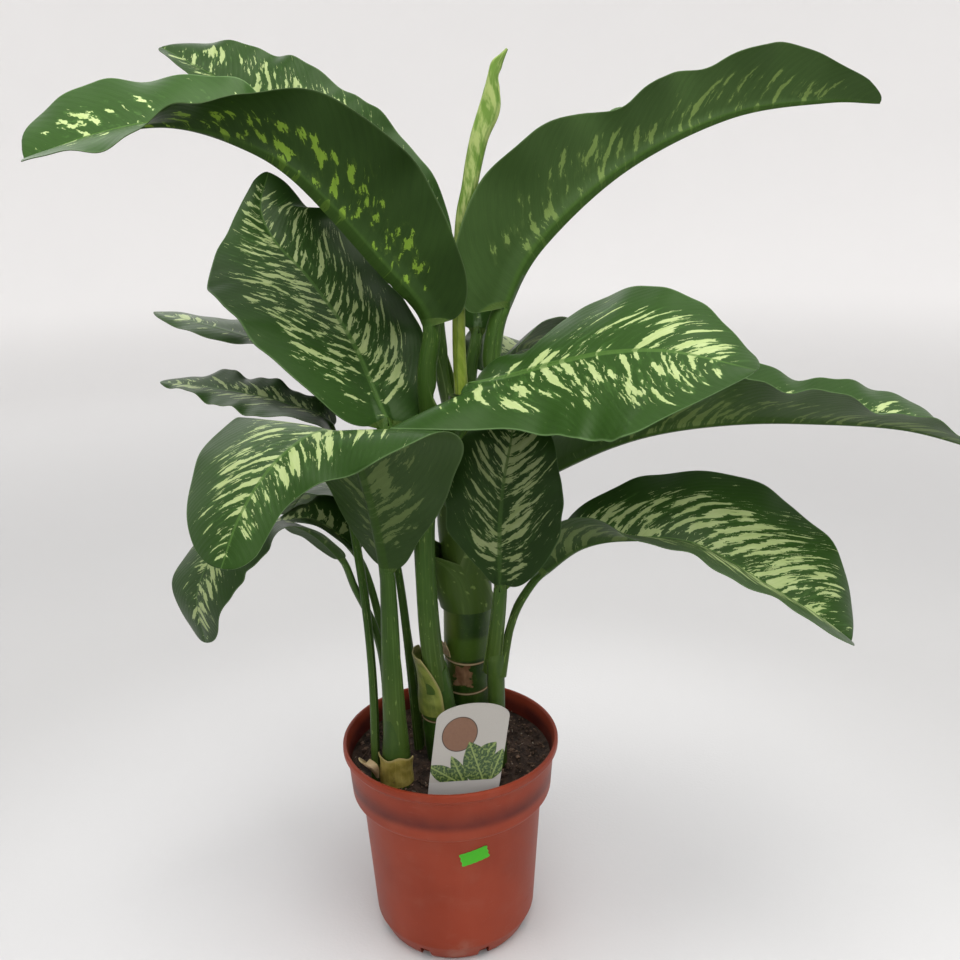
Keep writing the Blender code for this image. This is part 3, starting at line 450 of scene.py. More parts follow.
class Graph:
    """Builds one procedural material around its Principled shader."""

    def __init__(self, name, specular=0.5, **settings):
        self.material = bpy.data.materials.new(name)
        self.material.use_nodes = True
        self.tree = self.material.node_tree
        self.shader = self.tree.nodes["Principled BSDF"]
        self.shader.inputs["Specular IOR Level"].default_value = specular
        for socket, value in settings.items():
            self.shader.inputs[socket.replace("_", " ")].default_value = value

    def put(self, socket, value):
        if isinstance(value, Field):
            self.tree.links.new(value.socket, socket)
        elif isinstance(value, tuple) and len(value) == 3 and socket.type == "RGBA":
            socket.default_value = value + (1.0,)
        else:
            socket.default_value = value

    def node(self, kind, output=0, inputs=(), **settings):
        node = self.tree.nodes.new(kind)
        for name, value in settings.items():
            setattr(node, name, value)
        for key, value in dict(inputs).items():
            self.put(node.inputs[key], value)
        return Field(self, node.outputs[output])

    def math(self, operation, a, b=0.0):
        return self.node("ShaderNodeMath", 0, {0: a, 1: b}, operation=operation)

    def smooth(self, value, low, high, start=0.0, end=1.0):
        inputs = {0: value, 1: low, 2: high, 3: start, 4: end}
        return self.node("ShaderNodeMapRange", 0, inputs, interpolation_type="SMOOTHSTEP")

    def vector(self, x=0.0, y=0.0, z=0.0):
        return self.node("ShaderNodeCombineXYZ", 0, {0: x, 1: y, 2: z})

    def split(self, vector):
        node = self.tree.nodes.new("ShaderNodeSeparateXYZ")
        self.put(node.inputs[0], vector)
        return [Field(self, node.outputs[k]) for k in range(3)]

    def attribute(self, name):
        return self.split(self.node("ShaderNodeAttribute", "Vector", attribute_name=name))

    def position(self):
        return self.node("ShaderNodeTexCoord", "Object")

    def noise(self, vector, scale=1.0, detail=2.0, rough=0.5):
        inputs = {"Vector": vector, "Scale": scale, "Detail": detail, "Roughness": rough}
        return self.node("ShaderNodeTexNoise", 0, inputs)

    def grain(self, place, along, across, shift=0.0, **settings):
        """Noise over (along, across, seed), stretched by a scale for each direction."""
        return self.noise(self.vector(place[0] * along, place[1] * across, place[2] + shift), **settings)

    def mix(self, factor, a, b, **settings):
        return self.node("ShaderNodeMix", 2, {0: factor, 6: a, 7: b}, data_type="RGBA", **settings)

    def shade(self, colour, tone):
        return self.mix(1.0, colour, self.vector(tone, tone, tone), blend_type="MULTIPLY")

    def finish(self, colour, roughness, height, distance):
        bump = self.node("ShaderNodeBump", 0, {"Height": height, "Distance": distance, "Strength": 1.0})
        self.put(self.shader.inputs["Base Color"], colour)
        self.put(self.shader.inputs["Roughness"], roughness)
        self.put(self.shader.inputs["Normal"], bump)
        return self.material


def leaf_pattern(g):
    """Marks that run along the side veins, shared by both faces so that they line up."""
    vein = g.attribute("vein")
    line, across, seed = vein
    s, t, rib = g.attribute("place")
    cover, reach, glow = g.attribute("mood")
    jag = g.grain(vein, 270, 210, detail=3.0, rough=0.7) - 0.5
    bend = g.grain(vein, 34, 34, 3.0, detail=1.0) - 0.5
    course = line + jag * 0.0058 + bend * 0.009
    ragged = (course, across + jag * 0.010, seed)
    # glow, the painted light shining through the underside, also makes the streaks narrower.
    streak = g.grain(ragged, 125, glow * 120 + 20, 9.0, detail=2.0, rough=0.55)
    beat = g.math("SINE", course * (2 * math.pi / VEIN_PITCH * 1.1))
    patch = g.grain(vein, 20, 20, 21.0, detail=1.0) - 0.5
    outer = g.smooth(t - reach, -0.40, 0.14)
    ends = g.smooth(s, 0.0, 0.14, 1.0, 0.0) + g.smooth(s, 0.88, 0.98)
    level = streak + beat * 0.055 + patch * 0.26 + cover - outer * 0.26 - ends * 0.14
    core = g.smooth(level, 0.582, 0.600)
    halo = g.smooth(level, 0.49, 0.59)
    thin = g.grain(ragged, 480, 85, 33.0, detail=2.0)
    fleck = g.smooth(thin + patch * 0.22 + cover * 0.8 - outer * 0.10 - ends * 0.08, 0.660, 0.680)
    marks = g.math("MAXIMUM", core, fleck * 0.85)
    return dict(vein=vein, s=s, t=t, rib=rib, glow=glow, jag=jag, bend=bend, marks=marks, halo=halo)


def leaf_veins(g, p):
    """Faint side veins, uneven in strength, fine grain and broad clouds, for colour and bump."""
    wander = p["vein"][0] + p["bend"] * 0.004
    ripple = g.math("SINE", wander * (2 * math.pi / VEIN_PITCH * 2.0))
    strength = g.grain(p["vein"], 40, 25, 61.0, detail=1.0)
    grain = g.grain(p["vein"], 900, 90, detail=2.0)
    return ripple * strength, grain, g.grain(p["vein"], 9, 9, 50.0, detail=2.0)


def upper_face_material():
    g = Graph("leaf_upper_face", specular=0.17, Specular_Tint=(0.78, 0.92, 0.66, 1.0))
    p = leaf_pattern(g)
    ripple, grain, broad = leaf_veins(g, p)
    dark = g.mix(broad, (0.013, 0.037, 0.005), (0.027, 0.068, 0.011))
    green = g.mix(p["halo"] * 0.42, dark, (0.055, 0.125, 0.026))
    mottle = g.grain(p["vein"], 150, 60, 5.0, detail=2.0)
    cream = g.mix(mottle, (0.250, 0.335, 0.105), (0.400, 0.470, 0.235))
    colour = g.mix(p["marks"], green, cream)
    rib = g.smooth(p["rib"], 0.55, 1.0, 1.0, 0.0)
    colour = g.mix(rib * 0.75, colour, (0.060, 0.125, 0.024))
    edge = g.smooth(p["t"], 0.975, 0.998)
    colour = g.mix(edge * 0.4, colour, (0.150, 0.250, 0.100))
    # Painted light and shade: each leaf's tone brightens or darkens its upper face.
    upper_painted_light = g.attribute("tone")[0]
    colour = g.shade(colour, (grain * 0.36 + ripple * 0.03 + 0.82) * upper_painted_light)
    rough = g.grain(p["vein"], 60, 60, detail=2.0) * 0.16 + 0.30
    height = grain * 0.30 + ripple * 0.22 + p["marks"] * 0.15 + p["jag"] * 0.2
    return g.finish(colour, rough, height, 0.00022)


def under_face_material():
    g = Graph("leaf_under_face", specular=0.09)
    p = leaf_pattern(g)
    ripple, grain, broad = leaf_veins(g, p)
    # Underside green: shaded_green is painted shade, laid towards the leaf base and on leaves with more glow.
    dull = g.mix(broad, (0.030, 0.060, 0.015), (0.056, 0.098, 0.031))
    shaded_green = g.mix(broad, (0.009, 0.027, 0.002), (0.018, 0.045, 0.005))
    shadowed = g.smooth(p["s"], 0.10, 0.55, 0.45, 0.0)
    green = g.mix(g.math("MAXIMUM", p["glow"], shadowed), dull, shaded_green)
    # Painted light shining through the leaf: more glow makes the underside marks brighter and more
    # yellow-green.
    faint = g.mix(p["glow"], (0.150, 0.200, 0.075), (0.190, 0.330, 0.020))
    shown = p["marks"] * (p["glow"] * 0.35 + 0.45) + p["halo"] * 0.08
    colour = g.mix(shown, green, faint)
    rib = g.smooth(p["rib"], 0.7, 1.3, 1.0, 0.0)
    colour = g.mix(rib * 0.75, colour, (0.032, 0.072, 0.010))
    edge = g.smooth(p["t"], 0.975, 0.998)
    colour = g.mix(edge * 0.3, colour, (0.130, 0.200, 0.080))
    # Painted light and shade: each leaf's tone brightens or darkens its under face.
    under_painted_light = g.attribute("tone")[1]
    colour = g.shade(colour, (grain * 0.36 + ripple * 0.05 + 0.82) * under_painted_light)
    rough = g.grain(p["vein"], 60, 60, detail=2.0) * 0.14 + 0.40
    height = grain * 0.35 + ripple * 0.28
    return g.finish(colour, rough, height, 0.00030)


def stalk_material():
    """Living green stalk: lengthwise strands, paler towards the foot."""
    g = Graph("leaf_stalk", specular=0.13)
    vein = g.attribute("vein")
    edge, low = g.attribute("place")[1:]
    strand = g.grain(vein, 14, 900, detail=3.0, rough=0.6)
    broad = g.grain(vein, 30, 120, 4.0, detail=2.0)
    green = g.mix(broad, (0.022, 0.060, 0.007), (0.054, 0.110, 0.018))
    pale = g.mix(g.smooth(low, 0.25, 1.0) * 0.8, green, (0.048, 0.085, 0.013))
    colour = g.mix(g.smooth(strand, 0.50, 0.72) * 0.40, pale, (0.095, 0.165, 0.035))
    colour = g.mix(g.smooth(edge, 0.90, 0.99) * 0.40, colour, (0.150, 0.215, 0.070))
    fleck = g.smooth(g.grain(vein, 110, 700, 8.0, detail=2.0), 0.66, 0.70)
    colour = g.mix(fleck * 0.45, colour, (0.220, 0.320, 0.080))
    return g.finish(colour, broad * 0.2 + 0.28, strand, 0.0004)


# ---------------------------------------------------------------- leaves

def outline_width(s, power):
    peak = power[0] / (power[0] + power[1])
    body = np.maximum(s, 0.0) / peak
    rest = np.maximum(1 - s, 0.0) / (1 - peak)
    return body ** power[0] * rest ** power[1]


def trim_width(s, factors):
    """Width factors at s, from factors spread evenly from the base to the tip."""
    line = catmull([(value,) for value in factors], 8)[:, 0]
    return np.interp(s, np.linspace(0.0, 1.0, len(line)), line)


def leaf_frames(line, lengths, distances, heading):
    here = along_line(line, lengths, distances)
    before = along_line(line, lengths, distances - 0.005)[:, :3]
    after = along_line(line, lengths, distances + 0.005)[:, :3]
    tangent = unit(after - before)
    turn = math.radians(heading)
    side = np.array([-math.sin(turn), math.cos(turn), 0.0])
    side = unit(side - tangent * (tangent @ side)[:, None])
    return here, tangent, side, np.cross(tangent, side)


def blade_half(frames, s, sign, width, lobe, fold, levels):
    """Points and face directions on one half, from the midrib out to the margin."""
    here, tangent, side, up = frames
    place_now = here[:, :3].copy()
    points = [place_now]
    faces = [up]
    for a, b in zip(levels, levels[1:]):
        angle = np.radians(fold + BLADE_CURL * ((a + b) / 2 - 0.4))[:, None]
        out = side * sign * np.cos(angle) + up * np.sin(angle)
        place_now = place_now + out * (width * (b - a))[:, None]
        points.append(place_now)
        faces.append(up * np.cos(angle) - side * sign * np.sin(angle))
    points = np.stack(points, 1)
    back = lobe * width[:, None] * levels[None, :] ** 1.5 * np.exp(-(s / 0.16) ** 2)[:, None]
    return points - tangent[:, None, :] * back[:, :, None], np.stack(faces, 1), back


def blade_surface(leaf, look, line, lengths, start, span):
    """Upper and lower grids of the blade, with the numbers that its pattern needs."""
    k = np.arange(1, BLADE_STEPS + 1) / BLADE_STEPS
    s = 0.55 * k + 0.45 * (1 - np.cos(math.pi * k)) / 2
    s[-1] = 0.9995
    levels = (np.arange(HALF_COLUMNS + 1) / HALF_COLUMNS) ** 1.4
    frames = leaf_frames(line, lengths, start + span * s, leaf["heading"])
    stem = leaf["stalk_radius"]
    spread = outline_width(s, leaf["power"])
    tip = np.minimum(1.0, (1 - s) / 0.05) ** 0.5
    end = stem * (STALK_FOOT_SWELL - look["taper"])
    rib = end * (1 - s) ** 0.8 * 0.95 + 0.0003
    wave_size, wave_count, wave_phase = look["wave"]
    upper, lower, veins, places = [], [], [], []
    for sign, index in ((1, 0), (-1, 1)):
        frill = waves(look["seed"] + index, s * 38, s * 21)
        full = leaf["half"][index] * spread * trim_width(s, leaf["trim"][index])
        width = full * (1 + 0.022 * frill * np.sin(math.pi * s)) + stem * 0.6 * tip
        fold = frames[0][:, 3 + index]
        points, faces, back = blade_half(frames, s, sign, width, leaf["lobe"][index], fold, levels)
        reach = levels[None, :] * width[:, None]
        slope = np.ravel(look["slope"])[-index] * (0.40 + 0.60 * smoothstep(0.0, 0.45, s))[:, None]
        run = (s * span)[:, None] - back * 0.8 - slope * reach * (0.55 + 0.45 * levels[None, :])
        turn = 2 * math.pi * (wave_count * s + wave_phase + 0.37 * index)[:, None]
        fade = (np.sin(math.pi * np.clip(s, 0, 1)) ** 0.6)[:, None]
        lift = wave_size * levels[None, :] ** 2.2 * (np.sin(turn) + 0.35 * np.sin(2.3 * turn)) * fade
        quilt = np.sin(2 * math.pi * run / VEIN_PITCH) * (levels * (1 - levels ** 2))[None, :] * 1.6
        lift = lift + 0.00006 * quilt * fade
        points = points + faces * lift[:, :, None]
        bell = np.exp(-1.1 * (reach / (rib[:, None] * 1.25)) ** 2.4)
        crown = np.sqrt(np.maximum(1 - (reach / (end * 1.1)) ** 2, 0))
        swell = end * np.exp(-s / 0.05)[:, None] * crown
        half = LEAF_SHEET / 2
        upper.append(points + faces * (half + swell + 0.16 * rib[:, None] * bell)[:, :, None])
        lower.append(points - faces * (half + rib[:, None] * bell)[:, :, None])
        fine = look["fine"]
        veins.append(spread_over(run.shape, run * fine, reach * sign * fine, look["seed"] * SEED_STEP))
        share = reach / (rib[:, None] * 0.62 + 0.0004)
        places.append(spread_over(run.shape, s[:, None], levels, np.minimum(share, 6.0)))
    return upper, lower, veins, places


def join_halves(left, right):
    """One row from the left margin through the midrib to the right margin."""
    return np.concatenate([left[:, ::-1], right[:, 1:]], 1)


def cane_at(z):
    table = np.array(MAIN_CANE)
    return [np.interp(z, table[:, 2], table[:, k]) for k in (0, 1, 3)]


def stalk_surface(leaf, look, line, lengths, start, order):
    """Upper and lower rows of the stalk: a clasping sheath at the cane that closes to a round stalk."""
    stem = leaf["stalk_radius"]
    clasp = look["clasp"]
    count = max(10, int(start / STALK_RING))
    distances = np.arange(count) / count * start
    frames = leaf_frames(line, lengths, distances, leaf["heading"])
    here, tangent, side, up = frames
    centre = here[:, :3]
    levels = np.arange(HALF_COLUMNS + 1) / HALF_COLUMNS
    round_share = 0.7
    if not clasp:
        sink = np.arange(6, 0, -1) * CLASP_RING
        centre = np.vstack([centre[0] - tangent[0] * sink[:, None], centre])
        tangent, side, up = (np.vstack([np.repeat(v[:1], 6, 0), v]) for v in (tangent, side, up))
        distances = np.concatenate([-sink, distances])
    radius = stem * (STALK_FOOT_SWELL - look["taper"] * np.clip(distances / start, 0, 1))
    radius = radius + np.maximum(-distances, 0) * 0.05
    wing = look["wing"] * smoothstep(0.62, 0.30, distances / start) * (1 if clasp else 0.35)
    flat = (0.95 - 0.45 * smoothstep(0, 0.004, wing))[:, None]
    rows = {}
    for sign in (1, -1):
        t = np.minimum(levels / round_share, 1.0)
        flange = np.clip((levels - round_share) / (1 - round_share), 0, 1)
        angle = math.pi / 2 * (1 - t)
        across = np.cos(angle)[None, :] * radius[:, None] * 1.05
        top = np.sin(angle)[None, :] * radius[:, None] * flat
        bottom = -np.sin(angle)[None, :] * radius[:, None] * 0.95
        fin = wing[:, None] * flange[None, :]
        thick = 0.0006 * (1 - flange)[None, :] + 0.0002
        outer = across + thick + fin * 0.25
        inner = np.maximum(across - thick * (flange > 0)[None, :], 0) + fin * 0.15
        rows[sign] = [centre[:, None] + side[:, None] * (sign * out)[:, :, None]
                      + up[:, None] * (height + fin)[:, :, None]
                      for out, height in ((inner, top), (outer, bottom))]
    if clasp:
        rows, extra = add_clasp(rows, centre, distances, stem, clasp, levels, order)
        distances = np.concatenate([extra, distances])
    upper, lower = (join_halves(rows[1][k], rows[-1][k]) for k in (0, 1))
    shape = upper.shape[:2]
    around = np.concatenate([levels[::-1], -levels[1:]])
    low = np.clip(1 - distances / PALE_FOOT, 0, 1)
    veins = spread_over(shape, distances[:, None], around * stem * 1.5, look["seed"] * SEED_STEP)
    return upper, lower, veins, spread_over(shape, 0.0, np.abs(around), low[:, None])


def add_clasp(rows, centre, distances, stem, clasp, levels, order):
    """Blends the first part of the stalk into a sleeve wrapped round the main cane."""
    extra = -np.arange(int(clasp / CLASP_RING), 0, -1) * CLASP_RING
    heights = np.concatenate([centre[0, 2] + extra, centre[:, 2]])
    x, y, radius = cane_at(heights)
    axis = np.stack([x, y, heights], 1)
    toward = centre[0, :2] - axis[len(extra), :2]
    toward = toward / np.linalg.norm(toward)
    ahead = np.array([toward[0], toward[1], 0.0])
    beside = np.array([-toward[1], toward[0], 0.0])
    weight = np.concatenate([np.ones(len(extra)), 1 - smoothstep(0.0, 0.055, distances)])
    wrap = np.radians(100 + 45 * smoothstep(0.02, -clasp, np.concatenate([extra, distances])))
    grow = 0.0005 + 0.00025 * order
    made = {}
    for sign in (1, -1):
        side = beside * sign
        turn = wrap[:, None] * levels[None, :]
        direction = ahead * np.cos(turn)[:, :, None] + side * np.sin(turn)[:, :, None]
        ride = np.concatenate([smoothstep(-clasp, 0.0, extra), np.ones(len(distances))])
        flesh = 0.0008 + stem * 1.5 * ride[:, None] * np.clip(1 - levels / 0.55, 0, 1)[None, :] ** 1.3
        inner = axis[:, None] + direction * (radius + grow)[:, None, None]
        outer = axis[:, None] + direction * ((radius + grow)[:, None] + flesh)[:, :, None]
        upper, lower = rows[sign]
        blank = np.zeros((len(extra),) + upper.shape[1:])
        w = weight[:, None, None]
        made[sign] = (np.concatenate([blank, upper]) * (1 - w) + inner * w,
                      np.concatenate([blank, lower]) * (1 - w) + outer * w)
    return made, extra


def build_leaf(name, leaf, look, materials, order):
    first = leaf["blade"][0]
    rows = [tuple(point) + first[3:5] for point in leaf["stalk"]] + leaf["blade"]
    line = catmull(rows, PATH_STEPS)
    lengths = path_lengths(line)
    start = lengths[PATH_STEPS * len(leaf["stalk"])]
    span = lengths[-1] - start
    blade = blade_surface(leaf, look, line, lengths, start, span)
    stalk = stalk_surface(leaf, look, line, lengths, start, order)
    upper, lower, veins, places = (
        np.concatenate([s, join_halves(b[0], b[1])]) for s, b in zip(stalk, blade))
    rings, columns = upper.shape[:2]
    size = 2 * columns
    ring_index = np.repeat(np.arange(rings - 1), size)
    column = np.tile(np.arange(size), rings - 1)
    kind = np.where(ring_index < len(stalk[0]), 2, np.where(column < columns, 0, 1))
    kinds = np.concatenate([kind, np.full(columns - 1, 2), np.ones(columns - 1, int)])
    obj = make_mesh(name + "_detail", both_faces(upper, lower), ring_faces(rings, size), materials,
                    strip_caps(rings, columns), kinds, sharp=65.0)
    add_attribute(obj, "vein", both_faces(veins, veins))
    add_attribute(obj, "place", both_faces(places, places))
    add_attribute(obj, "mood", np.tile([look["cover"], look["reach"], look["glow"]], (rings * size, 1)))
    # Painted light and shade: the look's tone, a brightness factor for each face of this leaf.
    add_attribute(obj, "tone", np.tile(look["tone"] + (0.0,), (rings * size, 1)))
    face_outwards(obj)
    return place(obj, "leaf", name)


# ---------------------------------------------------------------- canes, sheaths and the new leaf

def cane_material(name, dark, light, scar=0.0):
    """Smooth green cane: lengthwise grain, blotches, pale rings, and a brown scar on the main one."""
    g = Graph(name, specular=0.18)
    x, y, z = g.split(g.position())
    around, up, ring = g.attribute("wrap")
    skin = (around, up, 0.0)
    blotch = g.noise(g.vector(x * 60, y * 60, z * 26), detail=3.0)
    grain = g.grain(skin, 60, 30, 2.0, detail=3.0, rough=0.6)
    fine = g.grain(skin, 300, 500, 5.0, detail=2.0)
    colour = g.mix(g.smooth(blotch, 0.35, 0.65), dark, light)
    yellow = g.smooth(x, 0.018, -0.006) * g.smooth(z, 0.25, 0.30) * scar
    colour = g.mix(yellow * 0.65, colour, (0.150, 0.190, 0.028))
    colour = g.mix(g.smooth(grain, 0.5, 0.8) * 0.30, colour, (0.075, 0.120, 0.022))
    fresh = g.smooth(z, 0.2845, 0.2870) * g.smooth(z, 0.3120, 0.3060) * scar
    colour = g.mix(fresh * 0.75, colour, (0.058, 0.115, 0.012))
    paper = g.mix(grain, (0.380, 0.270, 0.140), (0.600, 0.480, 0.290))
    colour = g.mix(g.smooth(ring, 0.05, 0.45), colour, (0.110, 0.060, 0.030))
    colour = g.mix(g.smooth(ring, 0.50, 0.80), colour, paper)
    if scar:
        wobble = g.noise(g.vector(x * 160, y * 160, z * 160), detail=3.0) - 0.5
        inside = g.smooth(wobble * 0.014 + g.math("ABSOLUTE", x - 0.0135), 0.0085, 0.0065)
        height = g.smooth(wobble * 0.010 + g.math("ABSOLUTE", z - 0.2685), 0.0125, 0.0105)
        brown = g.mix(g.smooth(grain, 0.4, 0.6), (0.130, 0.062, 0.030), (0.300, 0.175, 0.095))
        colour = g.mix(inside * height * g.smooth(y, 0.012, 0.002), colour, brown)
    dust = g.smooth(g.noise(g.vector(x * 400, y * 400, z * 400), detail=2.0), 0.62, 0.72)
    colour = g.mix(dust * 0.14, colour, (0.160, 0.190, 0.070))
    rough = grain * 0.22 + 0.30 + ring * 0.3
    return g.finish(colour, rough, grain * 0.6 + fine * 0.3 + blotch * 0.4, 0.0005)


def sheath_material(name, dark, light, dry):
    """Old sheath tissue: lengthwise veins, a dry pale rim and brown spots."""
    g = Graph(name, specular=0.35)
    around, up, edge = g.attribute("wrap")
    skin = (around, up, 0.0)
    vein = g.grain(skin, 420, 30, 1.0, detail=3.0, rough=0.6)
    blotch = g.grain(skin, 70, 70, 4.0, detail=3.0)
    colour = g.mix(g.smooth(blotch, 0.35, 0.65), dark, light)
    colour = g.mix(g.smooth(vein, 0.5, 0.75) * 0.4, colour, tuple(min(1.0, c * 1.5) for c in light))
    spot = g.smooth(g.grain(skin, 260, 260, 9.0, detail=3.0), 0.62, 0.70)
    colour = g.mix(spot * (0.25 + 0.5 * dry), colour, (0.120, 0.065, 0.030))
    colour = g.mix(g.smooth(edge, 0.88, 0.99) * 0.55, colour, (0.420, 0.340, 0.160))
    return g.finish(colour, blotch * 0.2 + 0.38 + 0.2 * dry, vein + blotch * 0.4, 0.0006)


def spear_material():
    g = Graph("new_leaf_skin", specular=0.20)
    around, up, edge = g.attribute("wrap")
    marble = g.noise(g.vector(around * 90 + up * 60, up * 26 - around * 30, 3.0), detail=4.0, rough=0.6)
    grain = g.grain((around, up, 0.0), 700, 22, 6.0, detail=2.0)
    low = g.smooth(up, 0.66, 0.59)
    fresh = g.mix(g.smooth(marble, 0.42, 0.60), (0.150, 0.270, 0.042), (0.400, 0.500, 0.160))
    stem = g.mix(g.smooth(marble, 0.35, 0.65), (0.200, 0.300, 0.030), (0.330, 0.430, 0.060))
    colour = g.mix(low, fresh, stem)
    colour = g.mix(edge * 0.7, colour, (0.085, 0.180, 0.028))
    colour = g.mix(g.smooth(grain, 0.55, 0.75) * 0.3, colour, (0.560, 0.620, 0.300))
    return g.finish(colour, marble * 0.2 + 0.30, grain + marble * 0.5, 0.0005)


def stem_line(rows, pitch=0.0011):
    """Rows between straight stretches of a stem, evenly close in height."""
    rows = np.array(rows)
    heights = [np.linspace(low, high, max(1, round((high - low) / pitch)), endpoint=False)
               for low, high in zip(rows[:-1, 2], rows[1:, 2])]
    heights = np.concatenate(heights + [rows[-1:, 2]])
    return np.stack([np.interp(heights, rows[:, 2], column) for column in rows.T], 1)


def round_angles(sides):
    return 2 * math.pi * np.arange(sides) / sides


def tube_mesh(name, line, reach, angle, relief, material):
    """A closed tube along rows of (x, y, z, half width, half depth), its sections scaled by the relief."""
    index = np.arange(len(line))
    before = line[np.maximum(index - reach, 0), :3]
    after = line[np.minimum(index + reach, len(line) - 1), :3]
    along = unit(after - before)
    side = unit(np.array([1.0, 0, 0]) - along * along[:, :1])
    up = np.cross(along, side)
    offset = side[:, None] * (np.cos(angle) * line[:, 3:4] * relief)[:, :, None]
    offset = offset + up[:, None] * (np.sin(angle) * line[:, -1:] * relief)[:, :, None]
    faces = ring_faces(len(line), len(angle))
    return make_mesh(name, line[:, None, :3] + offset, faces, [material], end_caps(len(line), len(angle)))


def tube_piece(name, rows, sides, material, bumps, rings, seed):
    """A living stem: round sections on a straight-stretched path, with low bumps and marked nodes."""
    line = stem_line(rows)
    angle = round_angles(sides)
    relief = 1 + bumps * waves(seed, np.cos(angle) * 3, np.sin(angle) * 3, line[:, 2:3] * 70)
    obj = tube_mesh(name + "_detail", line, 3, angle, relief, material)
    mask = np.zeros((len(line), sides))
    for height, half in rings:
        ragged = height + 0.0006 * waves(seed + 5, angle * 3.0)
        mask += np.exp(-((line[:, 2:3] - ragged[None, :]) / half) ** 4)
    add_attribute(obj, "wrap", spread_over(mask.shape, angle * 0.02, line[:, 2:3], np.minimum(mask, 1.0)))
    face_outwards(obj)
    place(obj, "cane", name)


def sleeve_piece(name, rows, across, thickness, material, ragged, seed):
    """An open thin sleeve: rows of (x, y, z, radius, from degrees, to degrees, flare)."""
    line = catmull(rows, 8)
    share = np.arange(across) / (across - 1)
    turn = np.radians(line[:, 4:5] + (line[:, 5:6] - line[:, 4:5]) * share[None, :])
    rim = np.abs(2 * share - 1)[None, :]
    height = np.arange(len(line))[:, None] / (len(line) - 1)
    reach = line[:, 3:4] + line[:, 6:7] * rim ** 2.5 + 0.0006 * waves(seed, turn * 2.5, height * 7)
    lift = ragged * height * waves(seed + 3, share[None, :] * 17)
    grid = np.stack([line[:, 0:1] + reach * np.cos(turn), line[:, 1:2] + reach * np.sin(turn),
                     line[:, 2:3] + lift], -1)
    return sheet_piece(name + "_detail", grid, thickness, material, np.maximum(rim, height))


def sheet_piece(name, grid, thickness, material, edge):
    """A grid of points thickened along its own normals into a closed thin sheet."""
    down = np.gradient(grid, axis=0)
    over = np.gradient(grid, axis=1)
    normal = unit(np.cross(down, over)) * thickness / 2
    rows, columns = grid.shape[:2]
    ring = both_faces(grid + normal, grid - normal)
    obj = make_mesh(name, ring, ring_faces(rows, 2 * columns), [material], strip_caps(rows, columns))
    across = path_lengths(grid[rows // 2])
    along = path_lengths(grid[:, columns // 2])
    values = spread_over((rows, columns), across, along[:, None], edge)
    add_attribute(obj, "wrap", both_faces(values, values))
    face_outwards(obj)
    return obj


def build_canes():
    green = cane_material("cane_main_skin", (0.016, 0.042, 0.005), (0.038, 0.085, 0.010), scar=1.0)
    side = cane_material("cane_side_skin", (0.020, 0.058, 0.007), (0.046, 0.105, 0.014))
    foot = cane_material("cane_foot_skin", (0.030, 0.066, 0.009), (0.052, 0.096, 0.015))
    dry = sheath_material("dry_rim", (0.330, 0.215, 0.105), (0.560, 0.430, 0.250), 1.0)
    pale = sheath_material("old_sheath_skin", (0.110, 0.150, 0.020), (0.230, 0.270, 0.050), 0.2)
    yellow = sheath_material("torn_sheath_skin", (0.210, 0.170, 0.028), (0.380, 0.310, 0.080), 0.4)
    tube_piece("main_cane", MAIN_CANE, 64, green, 0.012, [(0.2506, 0.0013), (0.2841, 0.0013)], 31)
    tube_piece("middle_cane", MIDDLE_CANE, 48, side, 0.012, [(0.2372, 0.0009)], 33)
    tube_piece("left_cane", LEFT_CANE, 40, foot, 0.010, [], 34)
    tube_piece("right_shoot", RIGHT_SHOOT, 32, foot, 0.010, [], 35)
    build_sheaths(pale, yellow, dry)


def build_sheaths(pale, yellow, dry):
    middle = [
        (-0.0105, -0.0150, 0.2415, 0.0180, 118, 292, 0.0004),
        (-0.0115, -0.0170, 0.2560, 0.0176, 116, 292, 0.0008),
        (-0.0120, -0.0190, 0.2700, 0.0162, 114, 288, 0.0012),
        (-0.0135, -0.0235, 0.2880, 0.0152, 114, 270, 0.0026),
        (-0.0165, -0.0270, 0.3060, 0.0150, 124, 246, 0.0034),
    ]
    obj = sleeve_piece("old_sheath_middle", middle, 40, 0.0011, pale, ragged=0.0010, seed=51)
    place(obj, "old_sheath", "old_sheath_middle")
    left = [
        (-0.0500, -0.0440, 0.1840, 0.0156, 168, 352, 0.0),
        (-0.0500, -0.0445, 0.1960, 0.0154, 170, 350, 0.0003),
        (-0.0495, -0.0450, 0.2060, 0.0155, 172, 348, 0.0006),
        (-0.0495, -0.0450, 0.2135, 0.0158, 178, 340, 0.0008),
    ]
    obj = sleeve_piece("torn_sheath_left", left, 44, 0.0010, yellow, ragged=0.0016, seed=52)
    place(obj, "old_sheath", "torn_sheath_left")
    flap = [
        (-0.0680, -0.046, 0.1870, 0.0012, 150, 330, 0.0), (-0.0695, -0.047, 0.1950, 0.0040, 150, 330, 0.0),
        (-0.0730, -0.048, 0.2030, 0.0062, 145, 335, 0.0), (-0.0785, -0.050, 0.2090, 0.0050, 140, 345, 0.0),
    ]
    obj = sleeve_piece("dry_flap_left", flap, 22, 0.0008, dry, ragged=0.0012, seed=53)
    place(obj, "dry_sheath", "dry_flap_left")
    scrap = [
        (0.0185, 0.0160, 0.2880, 0.0243, 200, 230, 0.0004),
        (0.0185, 0.0155, 0.2960, 0.0252, 201, 228, 0.0010),
        (0.0190, 0.0150, 0.3030, 0.0264, 204, 224, 0.0018),
    ]
    obj = sleeve_piece("dry_scrap_main", scrap, 14, 0.0007, dry, ragged=0.0012, seed=54)
    place(obj, "dry_sheath", "dry_scrap_main")


